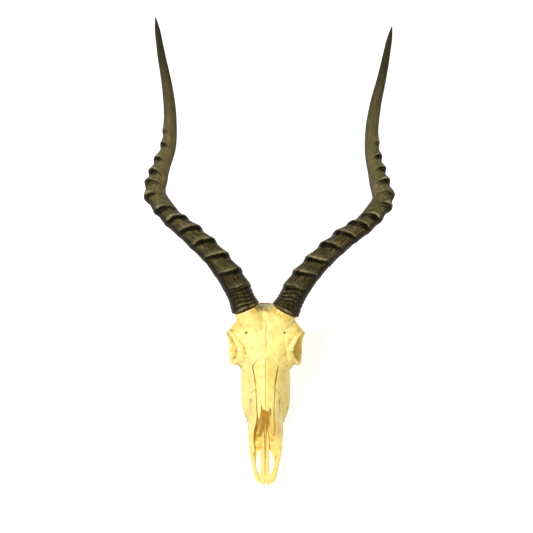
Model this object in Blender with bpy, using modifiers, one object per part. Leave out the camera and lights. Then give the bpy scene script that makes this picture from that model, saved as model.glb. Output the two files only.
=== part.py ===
"""Impala ram's skull without its lower jaw, both horns on. Metres, +Z up, nose towards -Y, animal's left at +X.

It rests on its cheek teeth and on the two paroccipital processes under the back of the skull.
The skull is drawn in millimetres: x sideways, y back from the nose tip, z up from the worn face of the teeth.
"""

from math import cos, pi, radians, sin

import bmesh
import bpy
import numpy as np

MM = 0.001
GAP = 0.3 * MM  # between bones that touch at a seam

# The horns are laid out on a plane that follows the slope of the face: across it, up it, and out of it.
FACE_PLANE_TILT = radians(55)
NOSE_TIP_HEIGHT = 14 * MM
NOSE_TO_HORNS = 218 * MM  # nose tip to the horn bases, up the face plane
HORN_BASE_HEIGHT = 112 * MM

# Axis of each horn on the face plane, mm sideways from the midline and mm up from its base line.
LEFT_AXIS = ((24.6, -1.8), (41, 28.5), (69, 62.5), (98.8, 89), (131, 114.3), (147, 141), (142.2, 166), (136.1, 200),
             (135.6, 222), (139.9, 258), (148.6, 297), (159.6, 357.8))
RIGHT_AXIS = ((24.5, 1), (35.5, 26.3), (61.9, 64.2), (93, 94.6), (123, 121.8), (138, 147), (134, 173),
              (123.4, 208), (121.7, 240), (125.1, 281), (132.5, 324), (138.8, 369.3))
# How far each growth ring's crest is along that axis, mm from the base.
LEFT_RINGS = (32, 53.5, 74.5, 98.5, 120.5, 141.5, 159, 178, 190.5, 204.5, 221.5, 239, 259)
RIGHT_RINGS = (29, 51, 75, 98, 121, 142, 160, 180.5, 194.5, 207, 224, 246, 265.5)
# Sweep out of the face plane: share of the length, degrees (plus is forward, minus is back).
SWEEP = ((0.0, 22), (0.38, -18), (1.0, 32))
# Half-width of the horn between its rings: share of the length, mm.
GIRTH = ((0.0, 16.3), (0.07, 16.0), (0.18, 14.0), (0.28, 12.9), (0.38, 11.9), (0.45, 12.6), (0.50, 11.7), (0.57, 9.8),
         (0.65, 8.7), (0.74, 7.7), (0.84, 6.0), (0.92, 4.5), (0.97, 3.0), (1.0, 0.5))
BASE_DEPTH_RATIO = 1.2  # front-to-back over side-to-side at the base, 1 at the tip
RING_HEIGHT = 3.8 * MM
BEND_HEIGHT = 5.2 * MM  # the rings stand up most as knobs round the bend, and fade out above it
BEND = (160, 205, 280)  # mm from the base: where the knobs start, are highest, and are gone
RING_FRONT_LEAD = 0.36  # a ring's front edge runs this many radii nearer the tip
RING_SIDE_LEAD = 0.5  # and its outer edge this many, once clear of the base
RING_STEP = 3.2 * MM  # length of the steep side of a ring, which faces the base
FOOT_FLARE = 2.1 * MM
HORN_COLUMNS = 14

VOXEL = 1.7 * MM
SKULL_TRIANGLES = 3300
SEAT_MARGIN = 6 * MM  # how far the flat seat under a horn is cleared past the horn's own foot
SEAT_CLEARANCE = 25 * MM

BONE = (0.86, 0.78, 0.55, 1)
INNER_BONE = (0.72, 0.55, 0.28, 1)
HORN = (0.16, 0.13, 0.08, 1)
TOOTH = (0.62, 0.56, 0.42, 1)


# ---------------------------------------------------------------- helpers

def material(name, color, roughness):
    """A plain Principled material."""
    made = bpy.data.materials.new(name)
    made.use_nodes = True
    shader = made.node_tree.nodes["Principled BSDF"]
    shader.inputs["Base Color"].default_value = color
    shader.inputs["Roughness"].default_value = roughness
    made.diffuse_color = color
    return made


def solid(name, points, faces):
    """An object from points in metres, with its faces turned outwards."""
    mesh = bpy.data.meshes.new(name)
    mesh.from_pydata([tuple(p) for p in points], [], faces)
    work = bmesh.new()
    work.from_mesh(mesh)
    bmesh.ops.recalc_face_normals(work, faces=work.faces)
    work.to_mesh(mesh)
    work.free()
    made = bpy.data.objects.new(name, mesh)
    bpy.context.scene.collection.objects.link(made)
    return made


def loft(name, rings, tip=None, curved_ends=False):
    """A closed solid through rings of equal point count. A tip point closes the last ring to a point.

    Curved ends are closed by a strip between the first half of a ring and the second half, which runs back under it.
    """
    count = len(rings[0])
    points = [p for ring in rings for p in ring]

    def end(first):
        if not curved_ends:
            return [tuple(range(first, first + count))]
        return [(first + i, first + i + 1, first + count - 2 - i, first + count - 1 - i) for i in range(count // 2 - 1)]

    faces = end(0)
    for row in range(len(rings) - 1):
        low, high = row * count, (row + 1) * count
        for i in range(count):
            j = (i + 1) % count
            faces.append((low + i, low + j, high + j, high + i))
    last = (len(rings) - 1) * count
    if tip is None:
        faces += end(last)
    else:
        points.append(tip)
        faces += [(last + i, last + (i + 1) % count, len(points) - 1) for i in range(count)]
    return solid(name, points, faces)


def spline(knots, values, at):
    """Smooth curve through the values at the knots, evaluated at the given places."""
    knots, values = np.asarray(knots, float), np.asarray(values, float)
    slopes = np.gradient(values, knots, axis=0)
    at = np.clip(at, knots[0], knots[-1])
    k = np.clip(np.searchsorted(knots, at, side="right") - 1, 0, len(knots) - 2)
    span = knots[k + 1] - knots[k]
    t = (at - knots[k]) / span
    shape = (-1,) + (1,) * (values.ndim - 1)
    t, span = t.reshape(shape), span.reshape(shape)
    return ((2 * t**3 - 3 * t**2 + 1) * values[k] + (t**3 - 2 * t**2 + t) * span * slopes[k]
            + (3 * t**2 - 2 * t**3) * values[k + 1] + (t**3 - t**2) * span * slopes[k + 1])


def tube(name, path, radii, sides=10):
    """A bar with rounded ends along a path, given in mm, with a radius in mm at each path point."""
    path, radii = np.asarray(path, float) * MM, np.asarray(radii, float) * MM
    along = np.r_[0, np.cumsum(np.linalg.norm(np.diff(path, axis=0), axis=1))]
    at = np.linspace(0, along[-1], 4 * len(path))
    centres, radii = spline(along, path, at), np.interp(at, along, radii)
    tangents = np.gradient(centres, axis=0)
    rings = []
    for centre, tangent, radius in zip(centres, tangents, radii):
        tangent = tangent / np.linalg.norm(tangent)
        side = np.cross(tangent, (0.3, 0.2, 1.0))
        side /= np.linalg.norm(side)
        other = np.cross(tangent, side)
        turn = np.linspace(0, 2 * pi, sides, endpoint=False)[:, None]
        rings.append(centre + radius * (np.cos(turn) * side + np.sin(turn) * other))
    return loft(name, rings)


def ellipsoid(name, centre, radii, turn=(0, 0, 0)):
    """An ellipsoid from centre and radii in mm and turns in degrees."""
    bpy.ops.mesh.primitive_uv_sphere_add(segments=24, ring_count=14, radius=1)
    made = bpy.context.object
    made.name = name
    made.scale = [r * MM for r in radii]
    made.rotation_euler = [radians(a) for a in turn]
    made.location = [c * MM for c in centre]
    return made


def joined(name, pieces):
    """One object that holds all the pieces, which may still pass through each other."""
    work = bmesh.new()
    for piece in pieces:
        bpy.context.view_layer.update()
        mesh = piece.data.copy()
        mesh.transform(piece.matrix_world)
        work.from_mesh(mesh)
        bpy.data.objects.remove(piece)
    mesh = bpy.data.meshes.new(name)
    work.to_mesh(mesh)
    work.free()
    made = bpy.data.objects.new(name, mesh)
    bpy.context.scene.collection.objects.link(made)
    return made


def as_cutter(piece):
    """Puts a helper among the cutters, which neither render nor count as parts."""
    for home in list(piece.users_collection):
        home.objects.unlink(piece)
    cutters.objects.link(piece)
    piece.hide_render = True
    piece.display_type = "WIRE"
    return piece


def cut(piece, cutter, label):
    boolean = piece.modifiers.new(label, "BOOLEAN")
    boolean.operation = "DIFFERENCE"
    boolean.solver = "EXACT"
    boolean.object = as_cutter(cutter)


def fuse(piece, voxel, smoothing):
    """Grows the pieces of a joined object into one skin, and softens it."""
    remesh = piece.modifiers.new("Grow together", "REMESH")
    remesh.mode = "VOXEL"
    remesh.voxel_size = voxel
    if smoothing:
        smooth = piece.modifiers.new("Soften", "SMOOTH")
        smooth.factor = 0.5
        smooth.iterations = smoothing


def settle(piece, triangles):
    """Applies the modifiers, and brings the skin down to a number of triangles."""
    bpy.context.view_layer.update()
    graph = bpy.context.evaluated_depsgraph_get()
    fine = bpy.data.meshes.new_from_object(piece.evaluated_get(graph))
    piece.modifiers.clear()
    piece.data = fine
    fewer = piece.modifiers.new("Fewer faces", "DECIMATE")
    fewer.ratio = triangles / sum(len(p.vertices) - 2 for p in fine.polygons)
    graph = bpy.context.evaluated_depsgraph_get()
    coarse = bpy.data.meshes.new_from_object(piece.evaluated_get(graph))
    piece.modifiers.clear()
    piece.data = coarse


def dress(piece, look):
    piece.data.materials.clear()
    piece.data.materials.append(look)


def face_plane(across, up, out):
    """A point given on the face plane, as x, y, z."""
    up = up + NOSE_TO_HORNS
    return np.array((
        across,
        up * sin(FACE_PLANE_TILT) - out * cos(FACE_PLANE_TILT),
        NOSE_TIP_HEIGHT + up * cos(FACE_PLANE_TILT) + out * sin(FACE_PLANE_TILT),
    ))


# ---------------------------------------------------------------- horns

HORN_BASE_OUT = (HORN_BASE_HEIGHT - NOSE_TIP_HEIGHT - NOSE_TO_HORNS * cos(FACE_PLANE_TILT)) / sin(FACE_PLANE_TILT)


class HornCurve:
    """The horn's axis and cross-sections, as functions of the length along the face plane."""

    def __init__(self, stations, side):
        flat = np.asarray(stations, float) * MM
        knots = np.r_[0, np.cumsum(np.linalg.norm(np.diff(flat, axis=0), axis=1))]
        self.side = side
        self.s = np.linspace(0, knots[-1], 600)
        flat = spline(knots, flat, self.s)
        self.length = knots[-1]
        share, degrees = zip(*SWEEP)
        lean = np.tan(np.radians(spline(share, degrees, self.s / self.length)))
        out = HORN_BASE_OUT + np.r_[0, np.cumsum(0.5 * (lean[1:] + lean[:-1]) * np.diff(self.s))]
        self.points = np.array([face_plane(a, b, c) for (a, b), c in zip(flat, out)])
        self.tangents = np.gradient(self.points, axis=0)
        self.tangents /= np.linalg.norm(self.tangents, axis=1)[:, None]

    def ring(self, s, grow=0.0, ridge=0.0, columns=HORN_COLUMNS):
        """Points round the horn at s: grow widens them all, and ridge lifts the ringed side only."""
        point = np.array([np.interp(s, self.s, self.points[:, i]) for i in range(3)])
        tangent = np.array([np.interp(s, self.s, self.tangents[:, i]) for i in range(3)])
        if s < 0:
            point = point + s * tangent
        front = np.array((0, -cos(FACE_PLANE_TILT), sin(FACE_PLANE_TILT)))
        front = front - front.dot(tangent) * tangent
        front /= np.linalg.norm(front)
        outer = np.cross(tangent, front)
        share = np.clip(s / self.length, 0, 1)
        radius = spline(*zip(*GIRTH), np.array([share]))[0] * MM + grow
        depth = 1 + (BASE_DEPTH_RATIO - 1) * (1 - share)
        side_lead = RING_SIDE_LEAD * np.clip(s / (60 * MM), 0, 1)
        # The ringed side is the inner front below the bend and the outer front above it.
        past_bend = np.clip((s - 135 * MM) / (45 * MM), 0, 1)
        ringed = radians(135 - 110 * past_bend)
        turn = np.linspace(0, 2 * pi, columns, endpoint=False)
        lift = ridge * (0.12 + 0.88 * (0.5 + 0.5 * np.cos(turn - ringed)))
        across, ahead = (radius + lift) * np.cos(turn), (radius + lift) * np.sin(turn) * depth
        along = RING_FRONT_LEAD * radius * depth * np.sin(turn) + side_lead * radius * np.cos(turn)
        points = point + across[:, None] * outer + ahead[:, None] * front + along[:, None] * tangent
        return points * (self.side, 1, 1)


def horn(name, stations, crests, side):
    curve = HornCurve(stations, side)
    rings = [curve.ring(0, grow=FOOT_FLARE), curve.ring(9 * MM, grow=0.4 * FOOT_FLARE)]
    crests = [c * MM for c in crests]
    for i, crest in enumerate(crests):
        after = crests[i + 1] if i + 1 < len(crests) else crest + 24 * MM
        height = np.interp(crest / MM, BEND, (RING_HEIGHT, BEND_HEIGHT, 0.6 * MM))
        rings.append(curve.ring(crest - RING_STEP))
        rings.append(curve.ring(crest, ridge=height))
        rings.append(curve.ring(0.45 * crest + 0.55 * (after - RING_STEP), ridge=0.45 * height))
    start = crests[-1] + 24 * MM
    for s in np.linspace(start, curve.length - 3 * MM, 8):
        rings.append(curve.ring(s))
    tip = curve.points[-1] * (side, 1, 1)
    return loft(name, rings, tip), curve


# ---------------------------------------------------------------- outlines of the skull

# Half cross-sections, mm: y, then (x, z) from the midline below, round the side, to the midline above.
CRANIUM = (
    (84, (0, 14), (12, 14), (18.5, 15), (21.2, 22), (20.2, 32), (17.5, 45), (13.5, 57), (8, 64.5), (0, 67)),
    (98, (0, 15), (14, 14), (24, 14), (27, 22), (25.5, 34), (20.5, 50), (14.5, 63.5), (8.5, 71), (0, 73.5)),
    (113, (0, 16), (16, 14), (28, 13.5), (31, 26), (29.3, 38), (23.5, 56), (17, 70), (9.5, 77.5), (0, 80)),
    (128, (0, 17), (17, 14), (29, 13.5), (31.2, 28), (30.6, 42), (26, 60), (20, 75), (11.5, 84), (0, 86.5)),
    (141, (0, 18), (18, 14), (29, 13.5), (31, 28), (31.2, 44), (30, 64), (25, 80), (14, 90.5), (0, 92.5)),
    (153, (0, 20), (18, 15), (28.5, 13.5), (29, 26), (27, 42), (25, 66), (30, 88), (18, 96.5), (0, 98)),
    (168, (0, 26), (16, 15), (27, 13.5), (25, 24), (20, 40), (19, 70), (40, 96.5), (24, 104), (0, 105)),
    (182, (0, 26), (12, 24), (16, 28), (17, 36), (18, 50), (21, 76), (41, 96), (31, 108), (0, 112.5)),
    (194, (0, 26), (14, 26), (20, 32), (24, 44), (27, 58), (29, 80), (34.5, 101), (26, 111), (0, 115)),
    (200, (0, 26), (14, 26), (24, 34), (30, 46), (32, 60), (32, 80), (32.5, 97), (23, 109), (0, 114)),
    (209, (0, 24), (14, 24), (25, 32), (31, 44), (33, 58), (32, 76), (29, 90), (18, 100.5), (0, 104)),
    (221, (0, 23), (14, 24), (25, 32), (31, 44), (32, 56), (30, 69), (25, 79), (14, 86), (0, 87.5)),
    (232, (0, 27), (14, 27), (26, 34), (31, 44), (31, 54), (28, 63), (22, 68), (12, 71), (0, 72)),
    (240, (0, 32), (12, 31), (22, 36), (27, 44), (27, 52), (24, 58), (17, 61.5), (9, 63.5), (0, 64)),
)
# Nasal passage, drawn the same way. It opens forwards between the nasal bones and the palate.
PASSAGE = (
    (46, (0, 18.6), (9, 18.8), (14, 21), (15, 26), (15, 34), (14, 46), (12, 58), (8, 68), (0, 70)),
    (84, (0, 18.6), (10, 18.8), (15.4, 21), (16.6, 26), (16, 34), (13.6, 45), (9.8, 55), (5, 65), (0, 66)),
    (98, (0, 19), (12, 19.2), (18, 22), (20.6, 28), (19.8, 38), (15.6, 50), (10.2, 60), (5, 69.5), (0, 71.5)),
    (113, (0, 20), (13, 20.4), (20, 24), (23.4, 30), (22, 40), (17.6, 54), (11, 66), (6, 74), (0, 76)),
    (128, (0, 22), (12, 23), (18, 27), (21, 34), (20, 44), (16, 58), (10, 70), (5, 78), (0, 80)),
    (137, (0, 28), (7, 29), (11, 33), (13, 39), (12, 47), (9, 58), (6, 66), (3, 72), (0, 74)),
)


def sections(table, step):
    """Full rings through the half-sections of a table, resampled every step mm."""
    ys = np.array([row[0] for row in table], float)
    halves = np.array([row[1:] for row in table], float)
    at = np.linspace(ys[0], ys[-1], int((ys[-1] - ys[0]) / step) + 1)
    rings = []
    for y, half in zip(at, spline(ys, halves, at)):
        count = len(half)
        half = spline(np.arange(count), half, np.linspace(0, count - 1, 2 * count - 1))
        half[0, 0] = half[-1, 0] = 0
        full = [(x, y, z) for x, z in half] + [(-x, y, z) for x, z in half[-2:0:-1]]
        rings.append(np.array(full) * MM)
    return rings


def mirrored(points):
    return [(-x, y, z) for x, y, z in points]


def both(maker, name, points, *rest):
    """The same bar on the left and on the right."""
    return [maker(name + "_left", points, *rest), maker(name + "_right", mirrored(points), *rest)]


def both_blobs(name, centre, radii, turn=(0, 0, 0)):
    x, y, z = centre
    a, b, c = turn
    return [ellipsoid(name + "_left", centre, radii, turn), ellipsoid(name + "_right", (-x, y, z), radii, (a, -b, -c))]


# ---------------------------------------------------------------- eye sockets

# Middle of the rim, once round from the inner front: it is wider at the cheek than at the forehead.
ORBIT_RIM = ((30, 151, 89), (35.5, 158, 94.5), (41, 168, 97.5), (47, 177.5, 88), (48, 183, 78.5), (45.5, 184, 67),
             (43.6, 175, 59), (43.2, 163, 57), (42.2, 150.5, 59.5), (35, 148, 73), (30, 151, 89), (35.5, 158, 94.5))
ORBIT_RIM_RADIUS = 3.1
ORBIT_HOLLOW = ((47, 166, 78), (28, 17.4, 17.4))  # centre and radii of the socket
ORBIT_FORWARD = 19  # degrees that each socket looks forward of straight sideways


def orbit_cutter(side):
    (x, y, z), radii = ORBIT_HOLLOW
    return ellipsoid("orbit", (side * x, y, z), radii, (0, 0, -side * ORBIT_FORWARD))


# ---------------------------------------------------------------- nasal bones

NASAL_THICK = 3.2  # mm, like the rest of this section
NASAL_EDGE = ((66, 10.0), (86, 10.8), (98, 11.2), (105, 12.5), (115, 14.0), (125, 15.6), (132, 16.8), (143, 16.8))
NASAL_PRONGS = ((0, 76), (0.2, 80), (0.5, 86), (0.8, 74), (1, 66))  # share of the width, y of the front edge
NASAL_BACK = 143  # where the two nasal bones meet the forehead at the midline
NASAL_BACK_SLANT = 11  # and how much further forward their outer corners are
BED_FRONT = 56
BED_ROWS = 25
SLIT = (107, 131)  # the open slit beside each nasal bone runs between these
SLIT_WIDE = 2.0
SEAM = GAP / MM


def nasal_top(x, y):
    """Height of the nasal bones' arched upper surface."""
    return 60 + 0.424 * (y - 66) - 0.028 * x * x


def bed_edge(y):
    return np.interp(y, *zip(*NASAL_EDGE))


def nasal_edge(y):
    """Outer edge of a nasal bone: a seam inside its bed's edge, or the slit's width."""
    return bed_edge(y) - np.interp(y, (SLIT[0] - 4, SLIT[0], SLIT[1] - 2, SLIT[1] + 2),
                                   (1.5 * SEAM, SLIT_WIDE, SLIT_WIDE, 1.5 * SEAM))


def arched_rings(shares, edge, inner, front, back, rise, sink, count=13):
    """Rings of an arched plate over the nose. Shares run across it, front and back give its ends at each share."""
    rings = []
    for along in np.linspace(0, 1, count):
        top, under = [], []
        for share in shares:
            y = front(abs(share)) + (back(abs(share)) - front(abs(share))) * along
            x = inner + (edge(y) - inner) * share
            top.append((x, y, nasal_top(x, y) + rise))
            under.append((x, y, nasal_top(x, y) - sink))
        rings.append(np.array(top + under[::-1]) * MM)
    return rings


def nasal(name, side):
    rings = arched_rings(np.linspace(0, 1, 6), nasal_edge, SEAM / 2, lambda j: np.interp(j, *zip(*NASAL_PRONGS)),
                         lambda j: NASAL_BACK - SEAM - NASAL_BACK_SLANT * j**1.5, 0, NASAL_THICK)
    return loft(name, [ring * (side, 1, 1) for ring in rings], curved_ends=True)


def nasal_bed():
    """Cutter that clears the top of the skull for both nasal bones."""
    return loft("nasal bed", arched_rings(np.linspace(-1, 1, 11), bed_edge, 0, lambda j: BED_FRONT,
                                          lambda j: NASAL_BACK - NASAL_BACK_SLANT * j**1.5, 9, NASAL_THICK + SEAM,
                                          count=BED_ROWS), curved_ends=True)


# ---------------------------------------------------------------- premaxillae

PREMAX_OUTLINE = ((0, 5.0), (3, 9), (8.5, 12.4), (16, 14.2), (24, 15.0), (31, 16.3), (39, 18.6), (47, 20.2), (56, 21.4),
                  (62, 21.8))
PREMAX_PLATE = (0.6, 59)  # y of the flat plate's two ends
PREMAX_NOTCH = ((0.6, 7), (1.8, 0.4))  # y, x of the notch between the two rounded tips
PREMAX_MIDDLE = ((14, 28), (13.6, 12.8))  # y, z of the plate's middle
PREMAX_HALF = ((14, 28), (2.1, 1.4))  # y, half its thickness
PALATE_FRONT = 60.5  # y where the skull's own palate starts behind them
PALATE_HALF = 14.2
PALATE_RISE = ((64, 78, 90), (15.2, 17.2, 18.2))  # y, z of its upper side, which is thin in front
PALATE_TOP = PALATE_RISE[1][-1]
SLOT_MIDDLE, SLOT_HALF = (8.6, 32), (3.3, 19.5)  # the long palatine slot, x and y
FACE_EDGE = ((84, 15), (103, 55))  # y, z of two points on the slanted front edge of the cheek bone
PREMAX_TRIANGLES = 620
RIM = ((6, 3.4, 13.7), (9.6, 6.6, 13.8), (11.6, 16, 14), (13.3, 28, 14.6), (15.6, 40, 15.4), (17.4, 50, 16))
RIM_RADII = (2.2, 2.5, 2.6, 2.7, 2.8, 2.6)
BAR = ((3.0, 4.5, 13.6), (3.0, 14, 14.0), (3.0, 30, 14.6), (2.8, 46, 15.2), (2.6, 57.5, 15.2))  # beside the midline
BAR_RADII = (2.0, 2.4, 2.5, 2.3, 1.6)
# The wall's outer and inner line, from the muzzle up to the nasal bones.
WALL = (((16.0, 44, 14.6), (13.4, 43, 16.6)), ((18.6, 52, 15), (13.4, 49.5, 18.5)),
        ((20.4, 62, 15.6), (14.2, 57.5, 21.5)), ((21, 74, 17), (14.2, 64, 30.5)),
        ((21, 83, 19.8), (13.2, 67.5, 41)), ((21.2, 89.0, 29.8), (12, 72, 53)),
        ((21, 93.8, 39.8), (11.9, 80, 59.3)), ((19.8, 98.3, 49), (11.9, 90, 63.8)),
        ((18.2, 102, 56.5), (12.1, 98, 66.5)))
WALL_RISE, WALL_HALF = np.array((0, 0.5, 0.85)), 1.1


def palate_top(y):
    return np.interp(y, *PALATE_RISE)


def wall(name, flip):
    """The thin side wall of the nose opening, from its outer line to its free inner line."""
    rings = []
    for outer, inner in WALL:
        outer, inner = np.array(outer, float) * flip, np.array(inner, float) * flip
        leaf = np.cross(inner - outer, WALL_RISE * flip)
        leaf *= WALL_HALF / np.linalg.norm(leaf)
        rings.append(np.array([outer + leaf, inner + leaf, inner - leaf, outer - leaf]) * MM)
    return loft(name, rings)


def premaxilla(name, side):
    """A thin plate with the long palatine slot between two bars, and the wall that climbs beside the nose."""
    rows = []
    for y in np.linspace(*PREMAX_PLATE, 14):
        wide, near = np.interp(y, *zip(*PREMAX_OUTLINE)) - 1.2, np.interp(y, *PREMAX_NOTCH)
        middle, half = np.interp(y, *PREMAX_MIDDLE), np.interp(y, *PREMAX_HALF)
        corners = ((near, -1), (wide, -0.8), (wide + 0.8, 0), (wide, 0.8), (near, 1))
        rows.append(np.array([(side * x, y, middle + half * level) for x, level in corners]) * MM)
    flip = np.array((side, 1, 1))
    body = joined(name, [loft("plate", rows), tube("rim", np.array(RIM) * flip, RIM_RADII),
                         tube("bar", np.array(BAR) * flip, BAR_RADII), wall("wall", flip)])
    fuse(body, 0.9 * MM, 2)
    turn = np.linspace(0, 2 * pi, 20, endpoint=False)
    outline = [(SLOT_MIDDLE[0] + SLOT_HALF[0] * (cos(t) + 0.35 * sin(t) ** 2), SLOT_MIDDLE[1] + SLOT_HALF[1] * sin(t))
               for t in turn]
    slot = loft(name + " slot", [np.array([(side * x, y, z) for x, y in outline]) * MM for z in (2, 30)])
    cut(body, slot, "Palatine slot")
    settle(body, PREMAX_TRIANGLES)
    return body


# ---------------------------------------------------------------- inside the nose

TURBINATE_OUTER = ((63, 12.6), (84, 13.6), (98, 14.4), (113, 19.6), (128, 18.8))  # y, outermost x


def turbinate(name, side):
    """A thin scroll of bone, open towards the midline, against the outer wall of the nasal passage."""
    rings = []
    for y, height, wide in ((66, 2.6, 1.9), (71, 4.5, 3.0), (80, 7.5, 4.4), (92, 11.5, 5.2), (106, 12, 5.4),
                            (118, 10, 4.8), (125, 6, 3.4)):
        wall = np.interp(y, *zip(*TURBINATE_OUTER))
        turn = np.radians(np.linspace(-138, 138, 9))
        skin = [(wide * cos(t), height * sin(t)) for t in turn]
        lining = [(0.6 * wide * cos(t), 0.75 * height * sin(t)) for t in turn[::-1]]
        middle = 20 + 0.13 * (y - 66) + 1.25 * height
        rings.append(np.array([(side * (wall - wide - 0.5 + x), y, middle + z) for x, z in skin + lining]) * MM)
    return loft(name, rings)


def vomer(name):
    """The thin upright blade on the midline of the passage's floor."""
    rings = []
    for y, height, half in ((62, 2, 0.4), (72, 5, 0.7), (84, 9, 0.8), (98, 14, 0.9), (112, 18, 1.0), (124, 20, 1.0)):
        floor = palate_top(y) if y < 80 else np.interp(y, *zip(*((row[0], row[1][1]) for row in PASSAGE)))
        floor += SEAM + 0.5
        rings.append(np.array([(half, y, floor), (half * 0.7, y, floor + height), (-half * 0.7, y, floor + height),
                               (-half, y, floor)]) * MM)
    return loft(name, rings)


# ---------------------------------------------------------------- teeth

TEETH = (("premolar_2", 8.6, 7.0), ("premolar_3", 9.6, 9.0), ("premolar_4", 10.0, 10.5), ("molar_1", 12.6, 12.5),
         ("molar_2", 14.6, 13.5), ("molar_3", 15.4, 13.0))  # name, length along the row, width
TOOTH_ROW_FRONT = 98
GUM_LINE = 15  # z of the flat ledge that the teeth stand on
ROW_OUTER = ((96, 22.8), (104, 24.8), (112, 27.0), (120, 28.8), (135, 29.6), (155, 29.2), (172, 27.6))


def tooth(name, side, front, length, width):
    """A high-crowned cheek tooth: ribs on the cheek side, lobes on the tongue side, worn flat below."""
    middle = front + length / 2
    outer = np.interp(middle, *zip(*ROW_OUTER))
    half = length / 2 - SEAM / 2
    lobes = 1 if name.startswith("pre") else 2
    shape = [(0, -half), (-0.7, -half / 2), (0.1, 0), (-0.7, half / 2), (0, half)]
    if lobes == 1:
        shape += [(-width * 0.55, half * 0.9), (-width, half * 0.3), (-width, -half * 0.3), (-width * 0.55, -half * 0.9)]
    else:
        shape += [(-width * 0.8, half * 0.9), (-width, half * 0.45), (-width * 0.72, 0), (-width, -half * 0.45),
                  (-width * 0.8, -half * 0.9)]
    rings = []
    for z, size in ((GUM_LINE - SEAM, 0.94), (8, 1.0), (0, 0.97)):
        rings.append(np.array([(side * (outer + (x + width / 2) * size - width / 2), middle + y * size, z)
                               for x, y in shape]) * MM)
    return loft(name, rings)


def gum_ledge(side):
    """Cutter that leaves a flat ledge above the teeth."""
    rings = []
    for y in (96, 104, 112, 120, 135, 155, 171.5):
        outer = np.interp(y, *zip(*ROW_OUTER))
        inner = outer - np.interp(y, (96, 120, 171), (9.5, 13.5, 14.5))
        rings.append(np.array([(side * x, y, z) for x, z in
                               ((inner, -8), (outer + 7, -8), (outer + 7, GUM_LINE), (inner, GUM_LINE))]) * MM)
    return loft("gum ledge", rings)


# ---------------------------------------------------------------- the skull itself

def skull_blank(curves):
    """Everything that grows into the one skull bone, joined and still overlapping."""
    pieces = [loft("cranium", sections(CRANIUM, 4))]
    palate = [np.array([(-PALATE_HALF, y, 12.6), (PALATE_HALF, y, 12.6), (PALATE_HALF, y, palate_top(y)),
                        (-PALATE_HALF, y, palate_top(y))]) * MM for y in (PALATE_FRONT - 1, *PALATE_RISE[0])]
    pieces.append(loft("palate", palate))
    pieces += both(tube, "orbit rim", ORBIT_RIM, [ORBIT_RIM_RADIUS] * len(ORBIT_RIM))
    pieces += both(tube, "brow", ((26, 190, 100), (36, 183, 97), (46, 177, 89.5)), (8, 5, 3.2))
    pieces += both_blobs("tear bone", (29, 150, 74), (7.5, 8, 15), (0, 0, 20))
    pieces += both(tube, "cheek root", ((25, 160, 33), (31, 164, 43), (37, 167, 52), (43, 163, 57)), (7, 7, 6.2, 4))
    pieces += both(tube, "arch", ((43, 164, 58), (43, 180, 59), (41, 196, 56), (37.5, 211, 50), (30, 222, 44)),
                   (3.8, 4.2, 4.2, 5, 6))
    pieces += both_blobs("condyle", (11.5, 242, 38), (7.5, 8, 11), (0, 0, -15))
    pieces += both_blobs("bulla", (20, 216, 21), (7, 13, 9))
    pieces += both(tube, "ear tube", ((26, 222, 38), (36, 226, 46)), (6, 5))
    pieces += both(tube, "paroccipital", ((26, 229, 40), (27.5, 235, 22), (27, 237, 8), (26.5, 238, -4)), (7, 5, 4, 3))
    pieces += both_blobs("pterygoid", (11.5, 180, 24), (2.6, 15, 13))
    pieces += both(tube, "nape", ((1, 236, 66), (15, 235, 63), (26, 232, 55), (30, 228, 47)), (3.5, 3, 3, 3))
    for curve in curves:
        pieces.append(loft("pedicle", [curve.ring(-30 * MM, grow=3 * MM), curve.ring(-12 * MM, grow=0.5 * MM),
                                       curve.ring(3 * MM, grow=-0.8 * MM)]))
    return joined("skull", pieces)


def front_trim():
    """Cutter for the slanted front edge of the cheek bones, above the palate."""
    (y0, z0), (y1, z1) = FACE_EDGE
    slope = (y1 - y0) / (z1 - z0)
    low, high = PALATE_TOP + 0.5, 110
    side = [(40, low), (y0 + slope * (low - z0), low), (y1 + slope * (60 - z1), 60), (y1 + slope * (60 - z1), high),
            (40, high)]
    return loft("face edge", [np.array([(x, y, z) for y, z in side]) * MM for x in (-60, 60)])


def box(name, low, high):
    bpy.ops.mesh.primitive_cube_add(size=1, location=[(a + b) / 2 * MM for a, b in zip(low, high)])
    made = bpy.context.object
    made.name = name
    made.scale = [(b - a) * MM for a, b in zip(low, high)]
    return made


def skull(curves):
    body = skull_blank(curves)
    fuse(body, VOXEL, 0)
    for side in (1, -1):
        cut(body, orbit_cutter(side), "Eye socket")
    cut(body, loft("passage", sections(PASSAGE, 5)), "Nasal passage")
    cut(body, ellipsoid("foramen magnum", (0, 244, 45), (8.5, 22, 8.5)), "Foramen magnum")
    cut(body, ellipsoid("throat", (0, 174, 24), (8, 16, 9)), "Throat")
    fuse(body, VOXEL, 4)
    settle(body, SKULL_TRIANGLES)
    for curve in curves:
        foot = curve.ring(-GAP, grow=SEAT_MARGIN, columns=22)
        cut(body, loft("horn seat", [foot, foot + SEAT_CLEARANCE * curve.tangents[0] * (curve.side, 1, 1)]), "Horn seat")
    cut(body, front_trim(), "Face edge")
    cut(body, nasal_bed(), "Nasal bed")
    for side in (1, -1):
        cut(body, gum_ledge(side), "Gum ledge")
        below = [np.array([(side * x, y, z) for x, z in ((PALATE_HALF, -5), (40, -5), (40, 40), (PALATE_HALF, 40))]) * MM
                 for y in (40, 84.6)]
        cut(body, loft("premaxilla side", below), "Premaxilla side")
    cut(body, box("front", (-40, 30, -5), (40, PALATE_FRONT, 60)), "Palate front")
    cut(body, box("floor", (-60, 150, -20), (60, 280, 0)), "Floor")
    return body


# ---------------------------------------------------------------- build

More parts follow.
